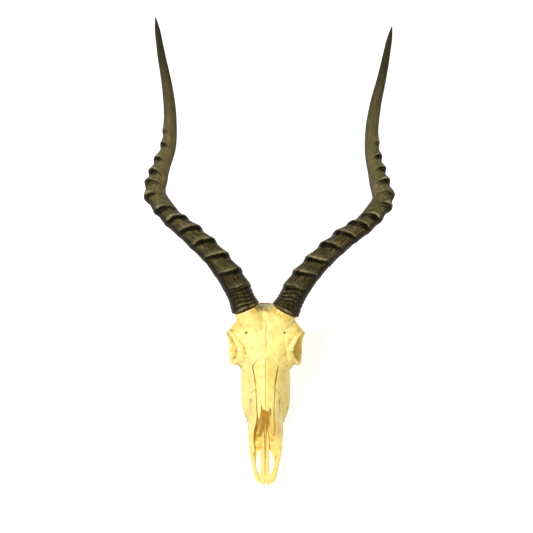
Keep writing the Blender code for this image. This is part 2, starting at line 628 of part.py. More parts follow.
for old in list(bpy.data.objects):
    bpy.data.objects.remove(old)
cutters = bpy.data.collections.new("cutters")
bpy.context.scene.collection.children.link(cutters)

bone = material("bone", BONE, 0.55)
inner_bone = material("inner_bone", INNER_BONE, 0.7)
keratin = material("horn", HORN, 0.4)
enamel = material("tooth", TOOTH, 0.35)

horn_left, left_curve = horn("horn_left", LEFT_AXIS, LEFT_RINGS, 1)
horn_right, right_curve = horn("horn_right", RIGHT_AXIS, RIGHT_RINGS, -1)
parts = [(horn_left, keratin), (horn_right, keratin), (skull((left_curve, right_curve)), bone)]
for word, side in (("left", 1), ("right", -1)):
    parts.append((nasal("nasal_" + word, side), bone))
    parts.append((premaxilla("premaxilla_" + word, side), bone))
    parts.append((turbinate("turbinate_" + word, side), inner_bone))
    front = TOOTH_ROW_FRONT
    for label, length, width in TEETH:
        parts.append((tooth(label + "_" + word, side, front, length, width), enamel))
        front += length
parts.append((vomer("vomer"), inner_bone))
for part, look in parts:
    dress(part, look)

# The origin goes to the middle of the bounding box, on the surface that the skull stands on.
bpy.context.view_layer.update()
graph = bpy.context.evaluated_depsgraph_get()
corners = np.array([part.evaluated_get(graph).matrix_world @ v.co for part, _ in parts
                    for v in part.evaluated_get(graph).data.vertices])
middle = (corners.min(axis=0) + corners.max(axis=0)) / 2
for thing in list(bpy.data.objects):
    thing.location.x -= middle[0]
    thing.location.y -= middle[1]
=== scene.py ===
# %% [markdown]
# # An impala ram's skull with its horns
#
# This scene dresses a bleached impala skull: the braincase and face, two nasal bones, two premaxillae at
# the muzzle, scrolls of thin bone inside the nose, twelve cheek teeth, and a pair of ringed horns. Each of
# them is a piece of its own, as on the real animal, where they meet at seams.
#
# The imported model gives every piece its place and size. The lesson rebuilds each one finely enough to show
# rings, seams, pits and wrinkles, and gives it a bone, horn or tooth finish made of nodes.

# %% Load the frame
from math import cos, pi, radians, sin

import bmesh
import bpy
import numpy as np
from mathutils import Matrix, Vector, noise


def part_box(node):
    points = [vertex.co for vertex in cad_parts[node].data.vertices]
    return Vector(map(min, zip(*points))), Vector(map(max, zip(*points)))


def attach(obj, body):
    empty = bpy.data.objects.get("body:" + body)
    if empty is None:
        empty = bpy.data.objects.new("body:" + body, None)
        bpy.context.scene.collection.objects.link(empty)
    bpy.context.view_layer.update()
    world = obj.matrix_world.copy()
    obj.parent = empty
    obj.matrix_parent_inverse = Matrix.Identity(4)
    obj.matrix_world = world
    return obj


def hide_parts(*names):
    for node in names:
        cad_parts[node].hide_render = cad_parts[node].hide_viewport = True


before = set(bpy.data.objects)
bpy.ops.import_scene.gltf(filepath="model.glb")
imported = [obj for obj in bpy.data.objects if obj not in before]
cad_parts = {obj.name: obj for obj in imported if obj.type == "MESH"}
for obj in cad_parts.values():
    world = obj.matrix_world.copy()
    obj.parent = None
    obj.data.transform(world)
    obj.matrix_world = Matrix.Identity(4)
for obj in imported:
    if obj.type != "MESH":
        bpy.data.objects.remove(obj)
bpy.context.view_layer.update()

# %% [markdown]
# ## The skull's own axes
#
# A skull is drawn most easily in millimetres from landmarks: x sideways from the midline, y back from the
# nose tip, z up from the worn face of the teeth. The second upper molar is the same solid on both sides, so
# its two boxes give the midline and the distance of the nose tip.

# %% Find the midline and the nose tip
MM = 0.001
SECOND_MOLAR_Y = 146.1 * MM  # from the nose tip to the middle of that tooth
molar_left, molar_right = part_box("molar_2_left"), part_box("molar_2_right")
SHIFT = Vector(((molar_left[1].x + molar_right[0].x) / 2,
                (molar_left[0].y + molar_left[1].y) / 2 - SECOND_MOLAR_Y, 0))
print("nose tip, midline, tooth plane at", [round(c, 4) for c in SHIFT])

# The face slopes, so marks on it are placed on a plane that slopes with it: across it, up it, and out of it.
FACE_TILT = radians(55)
NOSE_TIP_HEIGHT = 14 * MM
NOSE_TO_HORNS = 218 * MM
HORN_BASE_HEIGHT = 112 * MM
UP_FACE = np.array((0, sin(FACE_TILT), cos(FACE_TILT)))
OUT_OF_FACE = np.array((0, -cos(FACE_TILT), sin(FACE_TILT)))


def face_plane(across, up, out):
    up = up + NOSE_TO_HORNS
    return np.array((across, 0, NOSE_TIP_HEIGHT)) + up * UP_FACE + out * OUT_OF_FACE


def spots_on_face(points):
    """Where points lie across and up the face plane, in metres."""
    up = points @ UP_FACE - NOSE_TO_HORNS - NOSE_TIP_HEIGHT * cos(FACE_TILT)
    return np.stack([points[:, 0], up], axis=1)


# %% [markdown]
# ## Tools for shaping
#
# Bones are made like clay models. Simple solids are extruded along their length or added as spheres, they
# are joined, a voxel Remesh grows them into one skin, and Booleans cut the hollows. These few helpers do it
# with the same operators that the menus offer.

# %% Selecting, extruding and joining
def pick_only(*pieces):
    bpy.ops.object.select_all(action="DESELECT")
    for piece in pieces:
        piece.select_set(True)
    bpy.context.view_layer.objects.active = pieces[0]


def extrude_through(name, rings):
    """A closed solid: a ring's face is extruded once for each further ring, and its points are placed."""
    bpy.ops.object.select_all(action="DESELECT")
    bpy.ops.mesh.primitive_circle_add(vertices=len(rings[0]), radius=5 * MM, fill_type="NGON")
    piece = bpy.context.object
    piece.name = name
    bpy.ops.object.mode_set(mode="EDIT")
    bpy.ops.mesh.select_mode(type="FACE")
    work = bmesh.from_edit_mesh(piece.data)
    spoke = work.verts.layers.int.new("spoke")  # extruded points keep the number of the point they came from
    work.verts.ensure_lookup_table()
    for number, vert in enumerate(work.verts):
        vert[spoke] = number
    for step, ring in enumerate(rings):
        if step:
            bpy.ops.mesh.extrude_region_move()
        work = bmesh.from_edit_mesh(piece.data)
        spoke = work.verts.layers.int["spoke"]
        for vert in work.verts:
            if vert.select:
                vert.co = ring[vert[spoke]]
    bmesh.update_edit_mesh(piece.data)
    bpy.ops.mesh.select_all(action="SELECT")
    bpy.ops.mesh.normals_make_consistent(inside=False)
    bpy.ops.object.mode_set(mode="OBJECT")
    return piece


def spline(knots, values, at):
    """Smooth curve through the values at the knots, evaluated at the given places."""
    knots, values = np.asarray(knots, float), np.asarray(values, float)
    slopes = np.gradient(values, knots, axis=0)
    at = np.clip(at, knots[0], knots[-1])
    k = np.clip(np.searchsorted(knots, at, side="right") - 1, 0, len(knots) - 2)
    span = knots[k + 1] - knots[k]
    t = (at - knots[k]) / span
    shape = (-1,) + (1,) * (values.ndim - 1)
    t, span = t.reshape(shape), span.reshape(shape)
    return ((2 * t**3 - 3 * t**2 + 1) * values[k] + (t**3 - 2 * t**2 + t) * span * slopes[k]
            + (3 * t**2 - 2 * t**3) * values[k + 1] + (t**3 - t**2) * span * slopes[k + 1])


def rod(name, path, radii, sides=16):
    """A bar of bone along a path in mm, with a radius in mm at each of its points."""
    path, radii = np.asarray(path, float) * MM, np.asarray(radii, float) * MM
    along = np.r_[0, np.cumsum(np.linalg.norm(np.diff(path, axis=0), axis=1))]
    at = np.linspace(0, along[-1], 5 * len(path))
    centres, radii = spline(along, path, at), np.interp(at, along, radii)
    turn = np.linspace(0, 2 * pi, sides, endpoint=False)[:, None]
    rings = []
    for centre, tangent, radius in zip(centres, np.gradient(centres, axis=0), radii):
        side = np.cross(tangent, (0.3, 0.2, 1.0))
        side /= np.linalg.norm(side)
        other = np.cross(tangent / np.linalg.norm(tangent), side)
        rings.append(centre + radius * (np.cos(turn) * side + np.sin(turn) * other))
    return extrude_through(name, rings)


def blob(name, centre, radii, turn=(0, 0, 0)):
    """An egg of bone from its centre and radii in mm and its turns in degrees."""
    location, rotation = [c * MM for c in centre], [radians(a) for a in turn]
    bpy.ops.mesh.primitive_uv_sphere_add(segments=32, ring_count=20, radius=MM, location=location,
                                         rotation=rotation)
    piece = bpy.context.object
    piece.name = name
    piece.scale = radii
    bpy.ops.object.transform_apply(location=True, rotation=True, scale=True)
    return piece


def joined(name, pieces):
    pick_only(*pieces)
    bpy.ops.object.join()
    bpy.context.object.name = name
    return bpy.context.object


# %% Growing together, softening and cutting
def apply_all(piece):
    pick_only(piece)
    for modifier in list(piece.modifiers):
        bpy.ops.object.modifier_apply(modifier=modifier.name)


def fuse(piece, voxel, softening):
    remesh = piece.modifiers.new("Grow together", "REMESH")
    remesh.mode, remesh.voxel_size = "VOXEL", voxel
    if softening:
        smooth = piece.modifiers.new("Soften", "SMOOTH")
        smooth.factor, smooth.iterations = 0.5, softening
    apply_all(piece)


def cut(piece, *cutters):
    for cutter in cutters:
        boolean = piece.modifiers.new("Cut", "BOOLEAN")
        boolean.operation, boolean.solver, boolean.object = "DIFFERENCE", "MANIFOLD", cutter
        apply_all(piece)
        bpy.data.objects.remove(cutter)


def thin_out(piece, triangles):
    """Collapses needless edges of a dense skin."""
    now = sum(len(p.vertices) - 2 for p in piece.data.polygons)
    if now > triangles:
        fewer = piece.modifiers.new("Fewer faces", "DECIMATE")
        fewer.ratio = triangles / now
        apply_all(piece)


def mirrored(points):
    return [(-x, y, z) for x, y, z in points]


def both_rods(name, points, radii):
    return [rod(name, points, radii), rod(name, mirrored(points), radii)]


def both_blobs(name, centre, radii, turn=(0, 0, 0)):
    (x, y, z), (a, b, c) = centre, turn
    return [blob(name, centre, radii, turn), blob(name, (-x, y, z), radii, (a, -b, -c))]


# %% [markdown]
# ## Fine marks, dirt in hollows, and a place in the frame
#
# Seams between bones, blood-vessel grooves and worn edges are finer than any cutter. They are pressed into
# the finished skin by moving its points along their normals. The same measure is kept as an attribute on
# the mesh, so that the finish can darken a seam where the shape has one. A second attribute, from how far
# each point sinks below its neighbours, tells the finish where dirt gathers and where handling has rubbed
# the surface pale.

# %% Reading and pressing points
def points_of(piece):
    points = np.empty(len(piece.data.vertices) * 3)
    piece.data.vertices.foreach_get("co", points)
    return points.reshape(-1, 3)


def normals_of(piece):
    normals = np.empty(len(piece.data.vertices) * 3)
    piece.data.vertex_normals.foreach_get("vector", normals)
    return normals.reshape(-1, 3)


def put_points(piece, points):
    piece.data.vertices.foreach_set("co", points.ravel())
    piece.data.update()


def keep(piece, label, values):
    """Stores one number, or one vector, per point."""
    values = np.asarray(values, np.float32)
    kind, field = ("FLOAT_VECTOR", "vector") if values.ndim == 2 else ("FLOAT", "value")
    kept = piece.data.attributes.get(label) or piece.data.attributes.new(label, kind, "POINT")
    kept.data.foreach_set(field, values.ravel())


def grain_noise(points, scale, seed=0.0):
    """Smooth noise from -1 to 1 whose lumps are about 1/scale metres wide."""
    return np.array([noise.noise(Vector(p)) for p in points * scale + seed])


def neighbour_mean(piece, values, rounds=1):
    edges = np.empty(len(piece.data.edges) * 2, np.int64)
    piece.data.edges.foreach_get("vertices", edges)
    a, b = edges.reshape(-1, 2).T
    count = np.maximum(np.bincount(edges, minlength=len(values)), 1)
    for _ in range(rounds):
        means = [(np.bincount(a, column[b], len(column)) + np.bincount(b, column[a], len(column))) / count
                 for column in np.atleast_2d(values.T)]
        values = np.array(means).T.reshape(values.shape)
    return values


def keep_cavity(piece, reach, rounds=6):
    """Keeps 0 on ridges, 0.5 on flat ground and 1 in hollows, for hollows about reach metres deep."""
    points = points_of(piece)
    sunk = ((neighbour_mean(piece, points, rounds) - points) * normals_of(piece)).sum(axis=1)
    keep(piece, "cavity", np.clip(0.5 + 0.5 * neighbour_mean(piece, sunk) / reach, 0, 1))


def track(stations, waviness=0.0, period=3.0):
    """Close-set points along a line through stations in mm. Waviness makes it zigzag, as a seam does."""
    stations = np.asarray(stations, float)
    along = np.r_[0, np.cumsum(np.linalg.norm(np.diff(stations, axis=0), axis=1))]
    at = np.linspace(0, along[-1], max(int(along[-1] / 0.5), 2))
    line = spline(along, stations, at)
    ahead = np.gradient(line, axis=0)
    ahead /= np.linalg.norm(ahead, axis=1)[:, None] + 1e-9
    wave = np.sin(2 * pi * at / period + 1.3 * np.sin(at / 4.1)) + 0.5 * np.sin(2 * pi * at / (0.43 * period))
    return (line + waviness * wave[:, None] * np.stack([-ahead[:, 1], ahead[:, 0]], axis=1)) * MM


LEAST_FACING, FULL_FACING_AFTER = 0.25, 0.2  # how squarely a point faces a plane before a mark on it shows


def nearness(places, facing, line, width):
    """1 on the line and 0 well away from it, for the points that face the plane that it is drawn on."""
    near = np.zeros(len(places))
    low, high = line.min(axis=0) - 3 * width, line.max(axis=0) + 3 * width
    inside = (places > low).all(axis=1) & (places < high).all(axis=1)
    chosen = np.flatnonzero((facing > LEAST_FACING) & inside)
    for part in np.array_split(chosen, max(len(chosen) // 20000, 1)):  # in parts, to save memory
        gap = np.linalg.norm(places[part][:, None] - line[None], axis=2).min(axis=1)
        squarely = np.clip((facing[part] - LEAST_FACING) / FULL_FACING_AFTER, 0, 1)
        near[part] = np.exp(-((gap / width) ** 2)) * squarely
    return near


# %% Putting a finished piece in its place
def finish_piece(piece, replaced, finish, smooth_to=50):
    """Puts a piece in the frame with its origin at the world's, hangs it on the root, and hides the part it
    replaces.
    """
    pick_only(piece)
    piece.location = SHIFT
    bpy.ops.object.transform_apply(location=True, rotation=True, scale=True)
    bpy.ops.object.shade_smooth_by_angle(angle=radians(smooth_to))
    piece.data.materials.clear()
    piece.data.materials.append(finish)
    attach(piece, "root")
    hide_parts(replaced)
    print(piece.name, sum(len(p.vertices) - 2 for p in piece.data.polygons), "triangles")
    return piece


# %% [markdown]
# ## Nodes in short
#
# A finish is a chain of nodes into one Principled shader. Two small helpers add a node with its settings
# and inputs in one line, and make a colour ramp. Colours are given as they look on screen, from 0 to 255.

# %% Node helpers
def linear(value):
    """A value on screen, from 0 to 1, as the share of light that it stands for."""
    return value / 12.92 if value < 0.0404 else ((value + 0.055) / 1.055) ** 2.4


def colour(red, green, blue):
    return (linear(red / 255), linear(green / 255), linear(blue / 255), 1)


def new_finish(name):
    finish = bpy.data.materials.new(name)
    finish.use_nodes = True
    return finish, finish.node_tree, finish.node_tree.nodes["Principled BSDF"]


def add(tree, kind, inputs=(), **settings):
    made = tree.nodes.new("ShaderNode" + kind)
    for label, value in settings.items():
        setattr(made, label, value)
    for label, value in dict(inputs).items():
        if isinstance(value, bpy.types.NodeSocket):
            tree.links.new(value, made.inputs[label])
        else:
            made.inputs[label].default_value = value
    return made


def ramp(tree, factor, stops):
    made = add(tree, "ValToRGB", {"Fac": factor})
    made.color_ramp.elements[0].position, made.color_ramp.elements[0].color = stops[0]
    made.color_ramp.elements[1].position, made.color_ramp.elements[1].color = stops[-1]
    for place, tint in stops[1:-1]:
        made.color_ramp.elements.new(place).color = tint
    return made.outputs["Color"]


def blend(tree, factor, under, over, how="MIX"):
    made = add(tree, "Mix", data_type="RGBA", blend_type=how)
    for socket, value in ((made.inputs[0], factor), (made.inputs[6], under), (made.inputs[7], over)):
        if isinstance(value, bpy.types.NodeSocket):
            tree.links.new(value, socket)
        else:
            socket.default_value = value
    return made.outputs[2]


def span(tree, value, low, high, to_low=0.0, to_high=1.0):
    return add(tree, "MapRange", {"Value": value, "From Min": low, "From Max": high, "To Min": to_low,
                                  "To Max": to_high}).outputs["Result"]


def times(tree, a, b):
    return add(tree, "Math", {0: a, 1: b}, operation="MULTIPLY").outputs[0]


def plus(tree, a, b):
    return add(tree, "Math", {0: a, 1: b}, operation="ADD").outputs[0]


def attribute(tree, label, output="Fac"):
    return add(tree, "Attribute", attribute_name=label).outputs[output]


def noise_at(tree, place, scale, detail=3.0, roughness=0.55):
    return add(tree, "TexNoise", {"Vector": place, "Scale": scale, "Detail": detail,
                                  "Roughness": roughness}).outputs["Fac"]


def bump(tree, height, strength, distance, below=None, **settings):
    """A Bump's normal, for a height that stands distance metres proud. Below is the normal it adds to."""
    inputs = {"Height": height, "Strength": strength, "Distance": distance}
    if below is not None:
        inputs["Normal"] = below
    return add(tree, "Bump", inputs, **settings).outputs["Normal"]


# %% [markdown]
# ## Horn finish
#
# The sheath of a horn is keratin, like a hoof. It grows from the skull outwards in fine fibres that run
# along it, and every ring is a thick collar of it. It is olive brown, nearly black at the tip, and rusty at
# the rim that sat against the skin. Painted shade makes it nearly black in the steps under the rings and
# dark on the sides and the back, which face away from the light. The crests are pale, partly from rubbing
# and partly from a painted highlight. A colour painted along the fibres needs coordinates that follow the
# horn, so each sheath keeps a vector called fibre: round the horn, and slowly along it.

# %% Make the horn finish
horn_finish, tree, shader = new_finish("horn_keratin")
fibre, relief = attribute(tree, "fibre", "Vector"), attribute(tree, "relief")
along, cavity = attribute(tree, "along"), attribute(tree, "cavity")
# Painted shade: under is how squarely a face turns to the horn's base, behind how far it turns from the
# light.
under, behind = attribute(tree, "under"), attribute(tree, "behind")
place = add(tree, "TexCoord").outputs["Object"]
streaks = noise_at(tree, fibre, 9.0, 5.0, 0.62)
clouds = noise_at(tree, place, 60.0, 4.0)
flecks = noise_at(tree, place, 620.0, 3.0, 0.6)
tone = ramp(tree, streaks, ((0.3, colour(24, 20, 11)), (0.5, colour(68, 60, 37)),
                            (0.7, colour(128, 118, 80))))
# Pale crests: partly rubbed wear, partly a painted highlight where the surface stands proud.
wear_and_highlight = times(tree, times(tree, span(tree, cavity, 0.36, 0.08), span(tree, clouds, 0.44, 0.62)), 0.7)
rim = plus(tree, along, times(tree, clouds, 0.012))
for share, over in (
    (span(tree, clouds, 0.42, 0.66, 0.0, 0.7), (44, 38, 23)),     # darker clouds
    (span(tree, relief, 0.35, 1.0, 0.0, 0.5), (140, 130, 92)),    # painted highlight on the rings
    (span(tree, along, 0.3, 0.46, 0.0, 0.25), (146, 134, 92)),    # paler from the bend on
    (span(tree, along, 0.3, 0.06, 0.0, 0.55), (26, 21, 12)),      # dark foot
    (span(tree, cavity, 0.51, 0.74), (6, 5, 2)),                  # dirt and painted shade in hollows
    (span(tree, under, 0.05, 0.34, 0.0, 0.97), (6, 5, 2)),        # painted shade in the steps under the rings
    (wear_and_highlight, (200, 188, 140)),                                      # rubbed crests, with a painted highlight
    (span(tree, flecks, 0.54, 0.7, 0.0, 0.65), (20, 16, 8)),      # flecks
    (span(tree, along, 0.56, 0.9, 0.0, 0.8), (24, 20, 13)),       # dark tip
    (span(tree, behind, 0.42, 0.8, 0.0, 0.85), (10, 8, 4)),       # painted shade on the sides and the back
    (span(tree, rim, 0.016, 0.007, 0.0, 0.8), (84, 46, 16)),      # rusty rim
):
    tone = blend(tree, share, tone, colour(*over))
tree.links.new(tone, shader.inputs["Base Color"])
tree.links.new(span(tree, streaks, 0.3, 0.7, 0.52, 0.36), shader.inputs["Roughness"])
shader.inputs["Specular Tint"].default_value = colour(255, 236, 180)
shader.inputs["Specular IOR Level"].default_value = 0.07
fibrous = bump(tree, streaks, 0.5, 0.6 * MM)
tree.links.new(bump(tree, flecks, 0.25, 0.3 * MM, fibrous), shader.inputs["Normal"])
print("horn finish:", len(tree.nodes), "nodes")

# %% [markdown]
# ## The horns
#
# A ram's horn is a hollow cone that swings out, bends back in and sweeps up in a lyre. Below the bend it
# carries bold rings that step down towards the base like a saw's teeth, round the bend they stand up as
# knobs on the outer side, and the last third is smooth. The first few centimetres above the skull hold only
# fine wrinkles.
#
# A screw or a stack of rings could give a first shape. Here a cylinder is subdivided along its length, and
# each of its points is moved by its height and its angle on the cylinder, so the rings, wrinkles and fibres
# can be written as functions of those two. The curves below are given on the face plane, in mm from the
# horn's base.

# %% Where the horns run and where their rings are
LEFT_AXIS = ((24.6, -1.8), (41, 28.5), (69, 62.5), (98.8, 89), (131, 114.3), (147, 141), (142.2, 166),
             (136.1, 200), (135.6, 222), (139.9, 258), (148.6, 297), (159.6, 357.8))
RIGHT_AXIS = ((24.5, 1), (35.5, 26.3), (61.9, 64.2), (93, 94.6), (123, 121.8), (138, 147), (134, 173),
              (123.4, 208), (121.7, 240), (125.1, 281), (132.5, 324), (138.8, 369.3))
LEFT_RINGS = (32, 53.5, 74.5, 98.5, 120.5, 141.5, 159, 178, 190.5, 204.5, 221.5, 239, 259)
RIGHT_RINGS = (29, 51, 75, 98, 121, 142, 160, 180.5, 194.5, 207, 224, 246, 265.5)
SWEEP = ((0.0, 22), (0.38, -18), (1.0, 32))  # share of the length, degrees forward of the face plane
GIRTH = ((0.0, 16.3), (0.07, 16.0), (0.18, 14.0), (0.28, 12.9), (0.38, 11.9), (0.45, 12.6), (0.50, 11.7),
         (0.57, 9.8), (0.65, 8.7), (0.74, 7.7), (0.84, 6.0), (0.92, 4.5), (0.97, 3.0),
         (1.0, 0.5))  # share of the length, half-width in mm
BASE_DEPTH_RATIO = 1.2  # at its base a horn is deeper from front to back than it is wide
RING_HEIGHTS = ((0, 1.8), (30, 2.2), (48, 4.0), (150, 4.0), (180, 4.8), (205, 5.2), (235, 3.6),
                (280, 0.8))  # mm from the base, mm
RING_FRONT_LEAD, RING_SIDE_LEAD = 0.36, 0.5  # how far a ring runs ahead to the tip, in radii
RING_STEP = 4.6 * MM
RING_TAIL = 24 * MM  # the length of the last ring
RINGS_FACE, RINGS_TURN = 125, 112  # degrees round the horn where rings stand highest, and how far that turns
BEND_START, BEND_RUN = 135 * MM, 40 * MM  # where along the horn it turns
BARE_FOOT = 60 * MM  # the stretch over which the rings find their full lead and step
FOOT_FLARE = 2.1 * MM
HORN_BASE_OUT = (HORN_BASE_HEIGHT - NOSE_TIP_HEIGHT - NOSE_TO_HORNS * cos(FACE_TILT)) / sin(FACE_TILT)


class HornCurve:
    """The horn's axis, and the place of a point from its distance along the horn and its angle round it."""

    def __init__(self, stations, side):
        flat = np.asarray(stations, float) * MM
        knots = np.r_[0, np.cumsum(np.linalg.norm(np.diff(flat, axis=0), axis=1))]
        self.side, self.length = side, knots[-1]
        self.s = np.linspace(0, knots[-1], 600)
        flat = spline(knots, flat, self.s)
        lean = np.tan(np.radians(spline(*zip(*SWEEP), self.s / self.length)))
        out = HORN_BASE_OUT + np.r_[0, np.cumsum(0.5 * (lean[1:] + lean[:-1]) * np.diff(self.s))]
        self.points = np.array([face_plane(a, b, c) for (a, b), c in zip(flat, out)])
        self.tangents = np.gradient(self.points, axis=0)
        self.tangents /= np.linalg.norm(self.tangents, axis=1)[:, None]

    def girth(self, s):
        return spline(*zip(*GIRTH), np.clip(s / self.length, 0, 1)) * MM

    def place(self, s, turn, lift):
        """Points at distances s and angles turn, lifted off the plain cone by lift."""
        s, turn = np.broadcast_arrays(np.asarray(s, float), np.asarray(turn, float))
        point = np.array([np.interp(s, self.s, self.points[:, i]) for i in range(3)]).T
        tangent = np.array([np.interp(s, self.s, self.tangents[:, i]) for i in range(3)]).T
        tangent /= np.linalg.norm(tangent, axis=1)[:, None]
        point = point + np.minimum(s, 0)[:, None] * tangent
        front = OUT_OF_FACE - (tangent @ OUT_OF_FACE)[:, None] * tangent
        front /= np.linalg.norm(front, axis=1)[:, None]
        outer = np.cross(tangent, front)
        share = np.clip(s / self.length, 0, 1)
        radius = self.girth(s)
        depth = 1 + (BASE_DEPTH_RATIO - 1) * (1 - share)
        side_lead = RING_SIDE_LEAD * np.clip(s / BARE_FOOT, 0, 1)
        across = (radius + lift) * np.cos(turn)
        ahead = (radius + lift) * np.sin(turn) * depth
        shifted = RING_FRONT_LEAD * radius * depth * np.sin(turn) + side_lead * radius * np.cos(turn)
        points = point + across[:, None] * outer + ahead[:, None] * front + shifted[:, None] * tangent
        return points * (self.side, 1, 1)


left_curve, right_curve = HornCurve(LEFT_AXIS, 1), HornCurve(RIGHT_AXIS, -1)
print("horn lengths on the face plane, mm:", round(left_curve.length / MM), round(right_curve.length / MM))


# %% Rings, wrinkles and fibres as heights
def smoothstep(low, high, value):
    t = np.clip((value - low) / (high - low), 0, 1)
    return t * t * (3 - 2 * t)


def ring_relief(s, turn, crests, seed):
    """Height in metres and share of a full ring: a steep step towards the base, a slow fall to the tip."""
    round_it = np.stack([np.cos(turn), np.sin(turn), np.zeros_like(turn)], axis=1)
    # The crests wander a little as they go round, each in its own way.
    s = s + 1.3 * MM * grain_noise(round_it * 1.3 + np.stack([0 * s, 0 * s, s * 40], axis=1), 1.0, seed)
    crests = np.asarray(crests, float) * MM
    ends = np.r_[crests[1:], crests[-1] + RING_TAIL] - RING_STEP
    past_bend = np.clip((s - BEND_START) / BEND_RUN, 0, 1)
    ringed = np.radians(RINGS_FACE - RINGS_TURN * past_bend)
    facing = 0.5 + 0.5 * np.cos(turn - ringed)
    # In front a ring ends in a sharp step. On the side where it stands highest it swells and sinks evenly.
    step = RING_STEP + 4.5 * MM * facing**3 * np.clip(s / BARE_FOOT, 0, 1)
    share = np.zeros_like(s)
    for crest, end in zip(crests, ends):
        rise = np.clip((s - crest + step) / step, 0, 1)
        t = np.clip((s - crest) / (end - crest), 0, 1)
        swell = np.where(s < crest, rise**1.5, (1 - t) ** 1.9)
        rounded = 1 - np.exp(-(((s - crest) / (1.1 * MM)) ** 2)) * 0.1
        share = np.where((s >= crest - step) & (s < end), np.maximum(share, swell * rounded), share)
    one_sided = 0.04 + 0.96 * facing ** (1.4 + 1.6 * past_bend)
    height = np.interp(s / MM, *zip(*RING_HEIGHTS)) * MM
    return height * share * one_sided, share * one_sided


def fine_relief(s, turn, seed):
    """Wrinkles at the base, faint growth lines further up, and the fibres."""
    round_it = np.stack([np.cos(turn), np.sin(turn), np.zeros_like(turn)], axis=1)
    up = np.stack([0 * s, 0 * s, s], axis=1)
    wander = grain_noise(round_it * 1.1 + up * 60, 1.0, seed + 7)
    beat = (s + 3.2 * MM * wander) / (4.5 * MM)
    wrinkles = (np.abs(np.sin(pi * beat)) ** 0.6 - 0.6) * 1.6 * MM * (1 - smoothstep(22 * MM, 36 * MM, s))
    wrinkles *= smoothstep(0, 3 * MM, s) * (0.7 + 0.5 * grain_noise(round_it * 2 + up * 110, 1.0, seed + 3))
    lines = 0.09 * MM * np.sin(2 * pi * (s + 5 * MM * wander) / (3.6 * MM))
    lines *= smoothstep(26 * MM, 45 * MM, s) * (1 - smoothstep(150 * MM, 300 * MM, s))
    fibres = 0.16 * MM * grain_noise(round_it * 7 + up * 18, 1.0, seed + 11)
    lumps = 0.35 * MM * grain_noise(round_it * 1.6 + up * 34, 1.0, seed + 17)
    return wrinkles + lines + (fibres + lumps) * (1 - 0.7 * smoothstep(250 * MM, 330 * MM, s))


# %% Shape one sheath from a cylinder
COLUMNS, FIRST_CUTS, SECOND_CUTS = 112, 21, 24


def sheath(name, curve, crests, seed):
    bpy.ops.object.select_all(action="DESELECT")
    bpy.ops.mesh.primitive_cylinder_add(vertices=COLUMNS, radius=0.02, depth=1, location=(0, 0, 0.5))
    piece = bpy.context.object
    piece.name = name
    bpy.ops.object.transform_apply(location=True)
    bpy.ops.object.mode_set(mode="EDIT")
    bpy.ops.mesh.select_mode(type="EDGE")
    for cuts in (FIRST_CUTS, SECOND_CUTS):
        bpy.ops.mesh.select_all(action="DESELECT")
        work = bmesh.from_edit_mesh(piece.data)
        for edge in work.edges:
            edge.select_set(abs(edge.verts[0].co.z - edge.verts[1].co.z) > 1e-6)
        bmesh.update_edit_mesh(piece.data)
        bpy.ops.mesh.subdivide(number_cuts=cuts)
    bpy.ops.object.mode_set(mode="OBJECT")
    points = points_of(piece)
    s, turn = points[:, 2] * curve.length, np.arctan2(points[:, 1], points[:, 0])
    rings, share = ring_relief(s, turn, crests, seed)
    foot = FOOT_FLARE * (1 - smoothstep(0, 16 * MM, s))
    from_edge = 1 - np.clip(s / (2.4 * MM), 0, 1)
    edge_round = -1.8 * MM * (1 - np.sqrt(np.clip(1 - from_edge**2, 0, 1)))
    tip = smoothstep(curve.length, curve.length - 30 * MM, s)
    put_points(piece, curve.place(s, turn, (rings + fine_relief(s, turn, seed)) * tip + foot + edge_round))
    bpy.ops.object.mode_set(mode="EDIT")
    bpy.ops.mesh.select_all(action="SELECT")
    bpy.ops.mesh.normals_make_consistent(inside=False)
    bpy.ops.object.mode_set(mode="OBJECT")
    keep(piece, "fibre", np.stack([np.cos(turn), np.sin(turn), s * 9], axis=1))
    keep(piece, "relief", share)
    keep(piece, "along", s / curve.length)
    tangents = np.array([np.interp(s, curve.s, curve.tangents[:, i]) for i in range(3)]).T
    tangents *= (curve.side, 1, 1)
    normals = normals_of(piece)
    # Painted shade in the steps under the rings: how squarely each face turns towards the base.
    keep(piece, "under", -(normals * tangents).sum(axis=1))
    # Painted shade on the sides that face away from the light: below the bend the outer side hangs down, so
    # there "in front" leans up and inwards.
    lean = (1 - smoothstep(0.38 * curve.length, 0.5 * curve.length, s))[:, None]
    front = OUT_OF_FACE + lean * (0.3 * UP_FACE + (-0.45 * curve.side, 0, 0))
    front /= np.linalg.norm(front, axis=1)[:, None]
    keep(piece, "behind", 1 - (normals * front).sum(axis=1))
    keep_cavity(piece, 0.8 * MM, 8)
    return piece


finish_piece(sheath("sheath_left", left_curve, LEFT_RINGS, 3.7), "horn_left", horn_finish)
finish_piece(sheath("sheath_right", right_curve, RIGHT_RINGS, 21.3), "horn_right", horn_finish)

# %% [markdown]
# ## Bone finish
#
# Cleaned and bleached bone is never white. Its fat turns it a warm cream that deepens to ochre inside
# hollows and along seams, it is dusted with fine pores, and fibres in its surface run along the face. The
# finish takes the seams, stains and painted shade from the attributes that are pressed into each piece with
# its shape, and gives hollows in the nose a painted glow.

# %% Make the bone finish
PAINTED_GLOW = 0.28  # painted glow: emission where its attribute is 1
